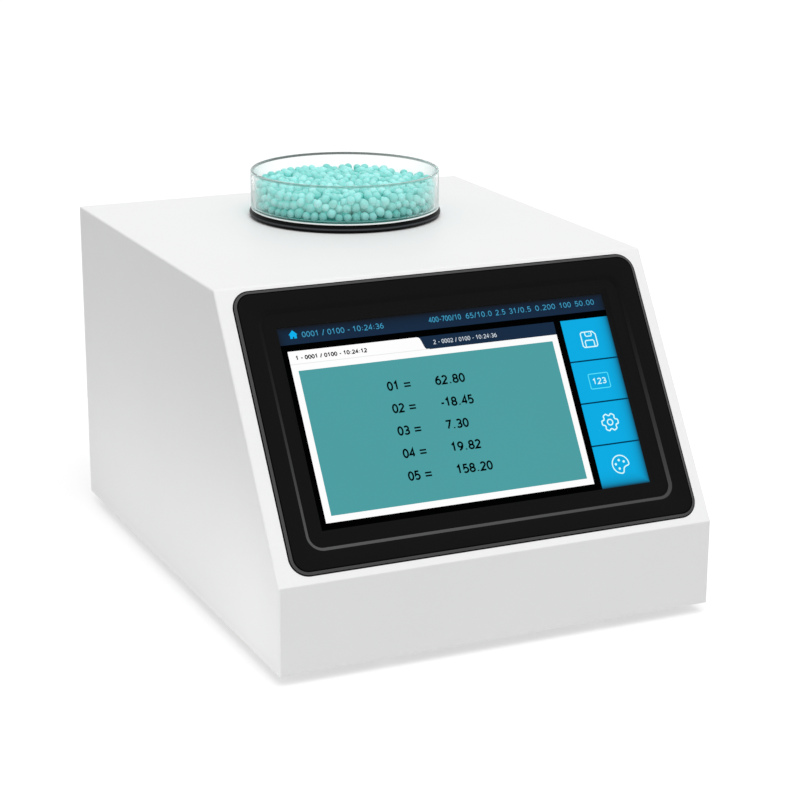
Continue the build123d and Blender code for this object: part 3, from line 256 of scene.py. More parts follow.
class StudioSettings(bpy.types.PropertyGroup):
    floor: color_property("Floor", "Floor, as the object is lit by it", (0.52, 0.52, 0.52))
    sky: FloatProperty(name="Sky", description="Strength of the light from all round", min=0.0, default=0.5)
    key: FloatProperty(
        name="Key", description="Strength of the soft light above the front", min=0.0, default=1.84
    )
    side_fill: FloatProperty(
        name="Side Fill",
        description="Power of the long low light beside the left wall",
        unit="POWER",
        min=0.0,
        default=0.042,
    )
    corner_fill: FloatProperty(
        name="Corner Fill",
        description="Power of the small low light by the front left corner",
        unit="POWER",
        min=0.0,
        default=0.026,
    )
    lens: FloatProperty(
        name="Lens", description="Focal length of the camera, in millimetres", unit="CAMERA", default=100.48
    )


SETTINGS = {
    "colorimeter_case": CaseSettings,
    "colorimeter_bezel": BezelSettings,
    "colorimeter_screen": ScreenSettings,
    "colorimeter_dish": DishSettings,
    "colorimeter_studio": StudioSettings,
}


# ---- Shader nodes ----


def add_node(tree, kind, inputs=None, **options):
    """Adds a node. inputs holds plain values, and sockets to link from."""
    node = tree.nodes.new(kind)
    for option, value in options.items():
        setattr(node, option, value)
    for socket, value in (inputs or {}).items():
        if isinstance(value, bpy.types.NodeSocket):
            tree.links.new(value, node.inputs[socket])
        else:
            node.inputs[socket].default_value = value
    return node


def calculate(tree, operation, first, second=0.0, clamp=False):
    node = add_node(tree, "ShaderNodeMath", {0: first, 1: second}, operation=operation, use_clamp=clamp)
    return node.outputs[0]


def mix_colors(tree, factor, first, second, blend="MIX"):
    node = add_node(
        tree, "ShaderNodeMix", {0: factor, 6: first, 7: second}, data_type="RGBA", blend_type=blend
    )
    return node.outputs[2]


def mix_shaders(tree, factor, first, second):
    return add_node(tree, "ShaderNodeMixShader", {0: factor, 1: first, 2: second}).outputs[0]


def ramp(tree, value, start, end, first=0.0, last=1.0):
    """Goes evenly from the first result to the last while the value goes from start to end."""
    limits = {"From Min": start, "From Max": end, "To Min": first, "To Max": last}
    return add_node(tree, "ShaderNodeMapRange", {"Value": value, **limits}).outputs["Result"]


def surface_place(tree):
    """The place on the surface, in the piece's own frame."""
    return add_node(tree, "ShaderNodeTexCoord").outputs["Object"]


def coordinates(tree):
    """The X, Y and Z of the place on the surface."""
    return add_node(tree, "ShaderNodeSeparateXYZ", {0: surface_place(tree)}).outputs


def opaque(color):
    return (*color[:3], 1.0)


def tinted(color, share):
    """A colour times a share, or times one share for each channel."""
    shares = share if isinstance(share, tuple) else (share,) * 3
    return tuple(min(1.0, channel * part) for channel, part in zip(color, shares))


def new_group(name, inputs, outputs):
    """A shader group with its sockets, its input node's outputs and its output node's inputs."""
    group = bpy.data.node_groups.new(name, "ShaderNodeTree")
    for label, kind, default in inputs:
        group.interface.new_socket(label, in_out="INPUT", socket_type=kind).default_value = default
    for label, kind in outputs:
        group.interface.new_socket(label, in_out="OUTPUT", socket_type=kind)
    return group, group.nodes.new("NodeGroupInput").outputs, group.nodes.new("NodeGroupOutput").inputs


def drift_group():
    """Slow changes of tone and roughness over a surface."""
    group = bpy.data.node_groups.get("Tone Drift")
    if group:
        return group
    group, given, out = new_group(
        "Tone Drift",
        [
            ("Color", "NodeSocketColor", (0.5, 0.5, 0.5, 1.0)),
            ("Shade", "NodeSocketFloat", 0.95),
            ("Scale", "NodeSocketFloat", 20.0),
            ("Roughness", "NodeSocketFloat", 0.5),
            ("Spread", "NodeSocketFloat", 0.05),
        ],
        [("Color", "NodeSocketColor"), ("Roughness", "NodeSocketFloat")],
    )
    cloud = add_node(
        group,
        "ShaderNodeTexNoise",
        {"Vector": surface_place(group), "Scale": given["Scale"], "Detail": 3.0, "Roughness": 0.55},
    )
    spread_out = ramp(group, cloud.outputs["Fac"], 0.3, 0.7)
    dark = mix_colors(group, 1.0, given["Color"], given["Shade"], "MULTIPLY")
    group.links.new(mix_colors(group, spread_out, dark, given["Color"]), out["Color"])
    centred = calculate(group, "SUBTRACT", spread_out, 0.5)
    swing = calculate(group, "MULTIPLY", centred, given["Spread"])
    group.links.new(calculate(group, "ADD", given["Roughness"], swing, clamp=True), out["Roughness"])
    return group


def grain_group():
    """Fine relief: orange peel, mould texture or brushed lines, as the stretch says."""
    group = bpy.data.node_groups.get("Surface Grain")
    if group:
        return group
    group, given, out = new_group(
        "Surface Grain",
        [
            ("Scale", "NodeSocketFloat", 900.0),
            ("Stretch", "NodeSocketVector", (1.0, 1.0, 1.0)),
            ("Detail", "NodeSocketFloat", 2.0),
        ],
        [("Height", "NodeSocketFloat")],
    )
    stretched = add_node(
        group, "ShaderNodeVectorMath", {0: surface_place(group), 1: given["Stretch"]}, operation="MULTIPLY"
    ).outputs["Vector"]
    noise = add_node(
        group,
        "ShaderNodeTexNoise",
        {"Vector": stretched, "Scale": given["Scale"], "Detail": given["Detail"], "Roughness": 0.6},
    )
    group.links.new(noise.outputs["Fac"], out["Height"])
    return group


def speck_group():
    """Sparse round specks: solder pads, pigment grains and pores."""
    group = bpy.data.node_groups.get("Specks")
    if group:
        return group
    group, given, out = new_group(
        "Specks",
        [
            ("Color", "NodeSocketColor", (0.5, 0.5, 0.5, 1.0)),
            ("Speck Color", "NodeSocketColor", (0.5, 0.5, 0.5, 1.0)),
            ("Scale", "NodeSocketFloat", 400.0),
            ("Size", "NodeSocketFloat", 0.2),
        ],
        [("Color", "NodeSocketColor"), ("Mask", "NodeSocketFloat")],
    )
    cells = add_node(group, "ShaderNodeTexVoronoi", {"Vector": surface_place(group), "Scale": given["Scale"]})
    inside = calculate(group, "LESS_THAN", cells.outputs["Distance"], given["Size"])
    draw = add_node(group, "ShaderNodeSeparateColor", {0: cells.outputs["Color"]}).outputs[0]
    mask = calculate(group, "MULTIPLY", inside, calculate(group, "GREATER_THAN", draw, 0.6))
    group.links.new(mix_colors(group, mask, given["Color"], given["Speck Color"]), out["Color"])
    group.links.new(mask, out["Mask"])
    return group


def border_group():
    """Fades the picture into its black surround towards the edge of the lit area."""
    group = bpy.data.node_groups.get("Picture Border")
    if group:
        return group
    group, given, out = new_group(
        "Picture Border",
        [("Color", "NodeSocketColor", (0.5, 0.5, 0.5, 1.0)), ("Fade", "NodeSocketFloat", SOFT_FADE)],
        [("Color", "NodeSocketColor")],
    )
    axes = coordinates(group)
    margins = [
        calculate(group, "SUBTRACT", half * DOT, calculate(group, "ABSOLUTE", axes[index]))
        for index, half in enumerate((PICTURE_DOTS[0] / 2 + PICTURE_EDGE, PICTURE_DOTS[1] / 2))
    ]
    nearest = calculate(group, "MAXIMUM", calculate(group, "MINIMUM", *margins), 0.0)
    share = calculate(group, "DIVIDE", nearest, given["Fade"])
    darkness = calculate(group, "EXPONENT", calculate(group, "MULTIPLY", share, -1.0))
    group.links.new(mix_colors(group, darkness, given["Color"], opaque(PAINTED_SURROUND_GLOW)), out["Color"])
    return group


def use_group(tree, group, inputs):
    return add_node(tree, "ShaderNodeGroup", inputs, node_tree=group)


def new_material(name, **constants):
    """A material with one Principled shader, whose constant inputs are set on it."""
    material = bpy.data.materials.new(name)
    material.use_nodes = True
    tree = material.node_tree
    shader = tree.nodes["Principled BSDF"]
    for socket, value in constants.items():
        shader.inputs[socket.replace("_", " ").title().replace("Ior", "IOR")].default_value = value
    return material, tree, shader


def show(tree, surface):
    """Makes a shader the one that the material shows."""
    tree.links.new(surface, tree.nodes["Material Output"].inputs["Surface"])


def color_over(tree, shader, color, roughness, *, shade=0.95, patches=18.0, spread=0.06):
    """Feeds the shader a colour and a roughness that drift slowly over the surface."""
    drift = use_group(
        tree,
        drift_group(),
        {"Color": color, "Shade": shade, "Scale": patches, "Roughness": roughness, "Spread": spread},
    )
    tree.links.new(drift.outputs["Color"], shader.inputs["Base Color"])
    tree.links.new(drift.outputs["Roughness"], shader.inputs["Roughness"])


def roughen(tree, shader, grain, relief, stretch=(1.0, 1.0, 1.0), detail=2.0):
    """Feeds the shader the bumps of a fine grain."""
    grained = use_group(tree, grain_group(), {"Scale": grain, "Stretch": stretch, "Detail": detail})
    bump = add_node(tree, "ShaderNodeBump", {"Height": grained.outputs["Height"], "Distance": relief})
    tree.links.new(bump.outputs["Normal"], shader.inputs["Normal"])


def finish(
    name, color, roughness, *, shade=0.95, patches=18.0, spread=0.06, grain=900.0, relief=0.005 * MM,
    stretch=(1.0, 1.0, 1.0), detail=2.0, specks=None, **constants
):
    """A solid finish with drifting tone and fine relief. specks is (colour, scale, size)."""
    material, tree, shader = new_material(name, **constants)
    base = opaque(color)
    if specks:
        speck_color, speck_scale, speck_size = specks
        base = use_group(
            tree,
            speck_group(),
            {"Color": base, "Speck Color": opaque(speck_color), "Scale": speck_scale, "Size": speck_size},
        ).outputs["Color"]
    color_over(tree, shader, base, roughness, shade=shade, patches=patches, spread=spread)
    roughen(tree, shader, grain, relief, stretch, detail)
    return material


def wall_veil(tree):
    """How much of the dish's wall is veiled: most where it is seen edge on, and a little at mid height."""
    facing = add_node(tree, "ShaderNodeLayerWeight", {"Blend": 0.5}).outputs["Facing"]
    edge_on = calculate(tree, "MULTIPLY", calculate(tree, "POWER", facing, EDGE_STEEPNESS), EDGE_VEIL)
    away = calculate(tree, "ABSOLUTE", calculate(tree, "SUBTRACT", coordinates(tree)["Z"], MIST_HEIGHT))
    return calculate(tree, "ADD", ramp(tree, away, 0.0, MIST_REACH, MIST, 0.0), edge_on)


def clear(
    name, color, ior, *, passing_light=(0.97, 0.98, 0.98), roughness=0.0, spread=0.01, veil=None, rear=None
):
    """Clear glass or plastic. Shadow and diffuse rays pass it, so that what is behind it is lit.
    veil is the colour of a haze over it, and rear the darker tint painted on towards the back as painted
    shade."""
    material, tree, shader = new_material(
        name, metallic=0.0, ior=ior, transmission_weight=1.0, roughness=roughness
    )
    tint = opaque(color)
    # Painted shade: the tint darkens towards the back, from the colour at the front to rear.
    if rear:
        back = ramp(tree, coordinates(tree)["Y"], -PAINTED_SHADE_REACH, PAINTED_SHADE_REACH)
        tint = mix_colors(tree, back, tint, opaque(rear))
    color_over(tree, shader, tint, roughness, shade=0.985, patches=30.0, spread=spread)
    body = shader.outputs[0]
    if veil:
        haze = add_node(tree, "ShaderNodeBsdfDiffuse", {"Color": opaque(veil)})
        body = mix_shaders(tree, wall_veil(tree), body, haze.outputs[0])
    rays = add_node(tree, "ShaderNodeLightPath").outputs
    passing = calculate(tree, "MAXIMUM", rays["Is Shadow Ray"], rays["Is Diffuse Ray"])
    through = add_node(tree, "ShaderNodeBsdfTransparent", {"Color": opaque(passing_light)})
    show(tree, mix_shaders(tree, passing, body, through.outputs[0]))
    return material


def lit(name, color, glow, fade):
    """Backlit ink of the screen's picture."""
    material, tree, shader = new_material(
        name, base_color=(0.0003, 0.0003, 0.0003, 1.0), roughness=0.6, specular_ior_level=0.0,
        emission_strength=glow,
    )
    even = use_group(
        tree,
        drift_group(),
        {"Color": opaque(color), "Shade": 0.985, "Scale": 12.0, "Roughness": 0.6, "Spread": 0.0},
    ).outputs["Color"]
    framed = use_group(tree, border_group(), {"Color": even, "Fade": fade}).outputs["Color"]
    tree.links.new(framed, shader.inputs["Emission Color"])
    return material


# Finishes of the record's slots that no operator makes by itself, without the colours that settings give
PLAIN_FINISHES = {
    "tray_grey": dict(roughness=0.55, grain=1400.0, relief=0.012 * MM),
    "foot_rubber": dict(roughness=0.8, grain=1800.0, relief=0.02 * MM, specular_ior_level=0.3),
    "screw_steel": dict(roughness=0.3, grain=2500.0, relief=0.004 * MM, metallic=1.0, shade=0.85),
    "nut_steel": dict(
        color=(0.55, 0.55, 0.54), roughness=0.35, grain=2500.0, relief=0.004 * MM, metallic=1.0
    ),
    "bracket_steel": dict(
        color=(0.56, 0.56, 0.55), roughness=0.38, grain=900.0, stretch=(0.04, 1.0, 1.0),
        relief=0.006 * MM, metallic=1.0,
    ),
    "motor_steel": dict(
        color=(0.5, 0.5, 0.5), roughness=0.35, grain=1500.0, stretch=(1.0, 1.0, 0.05),
        relief=0.006 * MM, metallic=1.0,
    ),
    "socket_steel": dict(
        color=(0.66, 0.65, 0.63), roughness=0.25, grain=1200.0, stretch=(1.0, 0.05, 1.0),
        relief=0.003 * MM, metallic=1.0,
    ),
    "standoff_brass": dict(
        color=(0.72, 0.56, 0.3), roughness=0.3, grain=2600.0, relief=0.004 * MM, metallic=1.0
    ),
    "mirror_coat": dict(
        color=(0.9, 0.9, 0.91), roughness=0.04, grain=300.0, relief=0.0005 * MM, metallic=1.0, spread=0.02
    ),
    "gasket_black": dict(
        color=(0.009, 0.009, 0.009), roughness=0.9, grain=2200.0, relief=0.05 * MM, specular_ior_level=0.1,
        specks=((0.004, 0.004, 0.004), 1500.0, 0.4),
    ),
    "lcd_black": dict(
        color=(0.0115, 0.012, 0.0125), roughness=0.5, grain=1500.0, relief=0.002 * MM, specular_ior_level=0.05
    ),
    "board_green": dict(
        color=(0.012, 0.085, 0.035), roughness=0.35, grain=700.0, relief=0.02 * MM, detail=4.0, shade=0.8,
        specks=((0.62, 0.6, 0.52), 260.0, 0.17),
    ),
    "ribbon_grey": dict(
        color=(0.52, 0.52, 0.5), roughness=0.5, grain=900.0, stretch=(1.0, 0.02, 0.02), relief=0.03 * MM
    ),
    "retainer_black": dict(color=(0.012, 0.012, 0.0125), roughness=0.4, grain=1600.0, relief=0.006 * MM),
    "optics_black": dict(color=(0.013, 0.013, 0.014), roughness=0.45, grain=1600.0, relief=0.008 * MM),
    "sphere_white": dict(
        color=(0.88, 0.88, 0.87), roughness=0.9, grain=1300.0, relief=0.02 * MM, specular_ior_level=0.2
    ),
    "socket_black": dict(color=(0.011, 0.011, 0.011), roughness=0.45, grain=1500.0, relief=0.01 * MM),
    "switch_black": dict(color=(0.012, 0.012, 0.012), roughness=0.4, grain=1500.0, relief=0.01 * MM),
}


def slot_finish(slot, **given):
    """The finish of a record slot, made the first time it is asked for."""
    material = bpy.data.materials.get("finish_" + slot)
    return material or finish("finish_" + slot, **PLAIN_FINISHES[slot], **given)


def dress(*nodes, material=None):
    """Gives CAD nodes one material, or else the finish of their own slot."""
    for name in nodes:
        for holder in NODES[name].material_slots:
            holder.material = material or slot_finish(SLOTS[name])


# ---- Meshes ----


def add_piece(name, mesh, materials, body, *, replaces=(), sharp=35, place=None):
    """Links a finished mesh as a piece that rides on a body."""
    for material in materials:
        mesh.materials.append(material)
    if sharp:
        mesh.shade_smooth()
        mesh.set_sharp_from_angle(angle=radians(sharp))
    piece = bpy.data.objects.new(name, mesh)
    bpy.context.scene.collection.objects.link(piece)
    if place:
        piece.matrix_world = place
    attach(piece, body)
    if replaces:
        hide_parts(*replaces)
    return piece


def mesh_from(name, points, faces, inks=None):
    mesh = bpy.data.meshes.new(name)
    mesh.from_pydata([tuple(point) for point in points], [], faces)
    if inks is not None:
        mesh.polygons.foreach_set("material_index", inks)
    mesh.update()
    return mesh


def slope_frame():
    """The screen's plane: X right, Y up the slope, Z out of it, from the bezel's middle."""
    low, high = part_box("housing_cover")
    toe = Vector((0, low.y, low.z + FRONT_HEIGHT))
    crest = Vector((0, low.y + SLOPE_RUN, high.z))
    right, up = Vector((1, 0, 0)), (crest - toe).normalized()
    out = right.cross(up)
    origin = sum(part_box("touch_glass"), Vector()) / 2 - out * GLASS_MIDDLE
    turn = Matrix((right, up, out)).transposed().to_4x4()
    return Matrix.Translation(origin) @ turn


def rounded_rectangle(width, height, corner, steps):
    """Outline points, counter-clockwise, with the same number for any size."""
    smallest_corner = 0.05 * MM
    corner = max(corner, smallest_corner)
    points = []
    for quarter, (side_x, side_y) in enumerate(((1, 1), (-1, 1), (-1, -1), (1, -1))):
        x, y = side_x * (width / 2 - corner), side_y * (height / 2 - corner)
        for step in range(steps + 1):
            angle = pi / 2 * (quarter + step / steps)
            points.append((x + corner * cos(angle), y + corner * sin(angle)))
    return points


def circle(radius, count):
    angles = [2 * pi * i / count for i in range(count)]
    return [(radius * cos(angle), radius * sin(angle)) for angle in angles]


def lathe(profile, segments):
    """Points and faces of a closed profile of (radius, height) turned about Z. Radius 0 makes a pole."""
    points, rings, faces = [], [], []
    for radius, height in profile:
        start = len(points)
        if radius < 1e-9:
            points.append((0.0, 0.0, height))
            rings.append([start] * segments)
        else:
            points += [(x, y, height) for x, y in circle(radius, segments)]
            rings.append(list(range(start, start + segments)))
    for lower, upper in zip(rings, rings[1:]):
        for i in range(segments):
            j = (i + 1) % segments
            corners = [lower[i], lower[j], upper[j], upper[i]]
            face = [c for k, c in enumerate(corners) if c not in corners[:k]]
            if len(face) > 2:
                faces.append(face)
    return points, faces


def arc(centre, radius, start, end, steps):
    """Points of an arc in a section, angles in degrees."""
    angles = [radians(start + (end - start) * i / steps) for i in range(steps + 1)]
    return [(centre[0] + radius * cos(a), centre[1] + radius * sin(a)) for a in angles]


# ---- Studio ----


class COLORIMETER_OT_studio(bpy.types.Operator):
    """Set up the floor, the soft light, the backdrop and the camera"""

    bl_idname = "colorimeter.studio"
    bl_label = "Studio"

    def execute(self, context):
        studio = context.scene.colorimeter_studio
        context.scene.view_settings.view_transform = "Standard"
        self.make_world(context.scene, studio)
        self.make_floor(context.scene, studio)
        self.make_lamps(context.scene, studio)
        self.make_camera(context.scene, studio)
        return {"FINISHED"}

    def seen_rays(self, tree):
        """1 for rays that should find the backdrop: camera, glossy and transmission rays."""
        rays = add_node(tree, "ShaderNodeLightPath").outputs
        seen = calculate(tree, "MAXIMUM", rays["Is Camera Ray"], rays["Is Glossy Ray"])
        return calculate(tree, "MAXIMUM", seen, rays["Is Transmission Ray"])

    def make_world(self, scene, studio):
        world = bpy.data.worlds.new("studio")
        world.use_nodes = True
        tree = world.node_tree
        sky = tree.nodes["Background"]
        sky.inputs["Color"].default_value = (1.0, 1.0, 1.0, 1.0)
        sky.inputs["Strength"].default_value = studio.sky
        backdrop = add_node(tree, "ShaderNodeBackground", {"Color": (1.0, 1.0, 1.0, 1.0), "Strength": 1.0})
        mixed = mix_shaders(tree, self.seen_rays(tree), sky.outputs[0], backdrop.outputs[0])
        tree.links.new(mixed, tree.nodes["World Output"].inputs["Surface"])
        scene.world = world

    def make_floor(self, scene, studio):
        """A wide floor that is seen white, apart from the shadows on it, and is clear from below."""
        half = 6.0
        corners = [(-half, -half, 0), (half, -half, 0), (half, half, 0), (-half, half, 0)]
        mesh = mesh_from("floor", corners, [(0, 1, 2, 3)])
        floor = bpy.data.objects.new("floor", mesh)
        scene.collection.objects.link(floor)
        material, tree, shader = new_material("floor_white", roughness=0.9, specular_ior_level=0.0)
        color_over(tree, shader, opaque(studio.floor), 0.9, shade=0.995, patches=2.0, spread=0.02)
        shaded = add_node(tree, "ShaderNodeBsdfDiffuse", {"Color": (0.45, 0.45, 0.45, 1.0)})
        white = add_node(tree, "ShaderNodeEmission", {"Color": (1.0, 1.0, 1.0, 1.0), "Strength": 0.62})
        backdrop = add_node(tree, "ShaderNodeAddShader", {0: shaded.outputs[0], 1: white.outputs[0]})
        top = mix_shaders(tree, self.seen_rays(tree), shader.outputs[0], backdrop.outputs[0])
        beneath = add_node(tree, "ShaderNodeNewGeometry").outputs["Backfacing"]
        open_below = add_node(tree, "ShaderNodeBsdfTransparent")
        show(tree, mix_shaders(tree, beneath, top, open_below.outputs[0]))
        mesh.materials.append(material)

    def make_lamps(self, scene, studio):
        """A wide soft light above the front, and two low ones beside the left wall."""
        key = bpy.data.lights.new("key_light", "SUN")
        key.energy, key.angle = studio.key, radians(50)
        side = self.low_lamp("side_light", 250 * MM, 20 * MM, studio.side_fill)
        corner = self.low_lamp("corner_light", 24 * MM, 26 * MM, studio.corner_fill)
        # Each lamp, its place, and the place that it points at
        for data, place, target in (
            (key, (0.0, -0.4524, 0.8918), (0.0, 0.0, 0.0)),
            (side, (-0.201, 0.05, 0.011), (-0.101, 0.05, -0.009)),
            (corner, (-0.2, -0.117, 0.013), (-0.101, -0.117, -0.007)),
        ):
            lamp = bpy.data.objects.new(data.name, data)
            lamp.location = place
            lamp.rotation_euler = (Vector(target) - Vector(place)).to_track_quat("-Z", "Y").to_euler()
            lamp.visible_camera = lamp.visible_glossy = lamp.visible_transmission = False
            scene.collection.objects.link(lamp)

    def low_lamp(self, name, width, height, power):
        lamp = bpy.data.lights.new(name, "AREA")
        lamp.shape = "RECTANGLE"
        lamp.size, lamp.size_y = width, height
        lamp.energy = power
        return lamp

    def make_camera(self, scene, studio):
        azimuth, elevation = radians(CAMERA_AZIMUTH), radians(CAMERA_ELEVATION)
        ahead = Vector((sin(azimuth) * cos(elevation), cos(azimuth) * cos(elevation), -sin(elevation)))
        right = ahead.cross(Vector((0, 0, 1))).normalized()
        up = right.cross(ahead)
        level = Matrix((right, up, -ahead)).transposed()
        data = bpy.data.cameras.new("camera")
        data.sensor_width, data.lens = SENSOR_WIDTH, studio.lens
        data.shift_x, data.shift_y = CAMERA_SHIFT
        camera = bpy.data.objects.new("camera", data)
        scene.collection.objects.link(camera)
        turn = level @ Matrix.Rotation(radians(CAMERA_ROLL), 3, "Z")
        camera.matrix_world = Matrix.Translation(CAMERA_PLACE) @ turn.to_4x4()
        scene.camera = camera


# ---- Case ----


class COLORIMETER_OT_case(bpy.types.Operator):
    """Powder-coat the cover and rear panel, and finish the tray and feet"""

    bl_idname = "colorimeter.case"
    bl_label = "Case"

    def execute(self, context):
        case = context.scene.colorimeter_case
        coat = finish(
            "powder_coat", case.coat, case.coat_roughness, shade=0.985, patches=14.0, spread=0.04,
            grain=1600.0, relief=case.coat_texture,
        )
        dress("housing_cover", "rear_panel", material=coat)
        dress("base_tray", material=slot_finish("tray_grey", color=case.tray))
        dress("feet", material=slot_finish("foot_rubber", color=case.rubber))
        slot_finish("screw_steel", color=case.steel)
        return {"FINISHED"}


class COLORIMETER_OT_screws(bpy.types.Operator):
    """Build the case screws with cross recesses"""

    bl_idname = "colorimeter.screws"
    bl_label = "Case Screws"

    def execute(self, context):
        for node, outward in (
            ("rear_panel_screws", Vector((0, 1, 0))),
            ("base_screws", Vector((0, 0, -1))),
            ("foot_screws", Vector((0, 0, -1))),
        ):
            self.replace_screws(node, outward)
        return {"FINISHED"}

    def replace_screws(self, node, outward):
        """One detailed screw at each solid of the node, turned by a different angle."""
        source = bmesh.new()
        source.from_mesh(NODES[node].data)
        bmesh.ops.remove_doubles(source, verts=source.verts, dist=0.001 * MM)
        made = bmesh.new()
        along = [abs(part) for part in outward].index(1)
        for count, places in enumerate(self.solids(source)):
            low = Vector(min(place[i] for place in places) for i in range(3))
            high = Vector(max(place[i] for place in places) for i in range(3))
            head_radius = (high - low)[(along + 1) % 3] / 2
            tip, crown = (low, high) if sum(outward) > 0 else (high, low)
            foot = (low + high) / 2
            foot[along] = tip[along]
            length = abs(crown[along] - tip[along])
            turn = outward.to_track_quat("Z", "Y").to_matrix().to_4x4()
            spin = Matrix.Rotation(radians(37 * count), 4, "Z")
            self.add_screw(made, Matrix.Translation(foot) @ turn @ spin, head_radius, length)
        mesh = bpy.data.meshes.new(node + "_detailed")
        made.to_mesh(mesh)
        made.free()
        source.free()
        add_piece(
            node.replace("_screws", "_cross_screws"), mesh, [slot_finish("screw_steel")], "chassis",
            replaces=(node,), sharp=40,
        )

    def solids(self, source):
        """The points of each separate solid in the mesh."""
        found = []
        source.verts.index_update()
        left = {vert.index: vert for vert in source.verts}
        while left:
            solid, edge = [], [left.popitem()[1]]
            while edge:
                vert = edge.pop()
                solid.append(vert.co)
                for link in vert.link_edges:
                    other = link.other_vert(vert)
                    if left.pop(other.index, None):
                        edge.append(other)
            found.append(solid)
        return found

    def add_screw(self, made, place, head_radius, length):
        """A pan head over its shank, with its tip at the place and its crown at length above."""
        turns = 28
        shank, seat = 1.5 * MM, length - 1.7 * MM
        tip = 0.5 * MM
        flat, dome = 0.62 * head_radius, seat + 0.55 * MM
        profile = [(0, 0), (shank * 0.7, 0), (shank, tip), (shank, seat), (head_radius * 0.96, seat)]
        profile += [(head_radius, seat + 0.06 * MM), (head_radius, dome)]
        for x, y in arc((0, 0), 1.0, 0, 90, 5)[1:]:
            profile.append((flat + (head_radius - flat) * x, dome + (length - dome) * y))
        points, faces = lathe(profile, turns)
        verts = [made.verts.new(place @ Vector(point)) for point in points]
        for face in faces:
            made.faces.new([verts[i] for i in face])
        self.close_head(made, place, verts[-turns:], 0.52 * head_radius, 0.13 * head_radius, length)

    def close_head(self, made, place, rim, arm, half, level):
        """Fills the head inside its rim, with a cross recess of the given arm and half width."""
        depth, taper = 1.0 * MM, 0.6
        cross = []
        for quarter in range(4):
            spin = Matrix.Rotation(quarter * pi / 2, 2)
            cross += [spin @ Vector(corner) for corner in ((arm, -half), (arm, half), (half, half))]
        top = [made.verts.new(place @ Vector((p.x, p.y, level))) for p in cross]
        foot = [made.verts.new(place @ Vector((p.x * taper, p.y * taper, level - depth))) for p in cross]
        rim_edges = [made.edges.get(pair) for pair in zip(rim, rim[1:] + rim[:1])]
        cross_edges = [made.edges.new(pair) for pair in zip(top, top[1:] + top[:1])]
        made.normal_update()
        filled = bmesh.ops.triangle_fill(made, edges=rim_edges + cross_edges, use_beauty=True)
        outward = (place.to_3x3() @ Vector((0, 0, 1))).normalized()
        for item in filled["geom"]:
            if isinstance(item, bmesh.types.BMFace) and item.normal.dot(outward) < 0:
                item.normal_flip()
        for i in range(len(cross)):
            j = (i + 1) % len(cross)
            made.faces.new((top[j], top[i], foot[i], foot[j]))
        made.faces.new(foot)


# ---- Screen ----


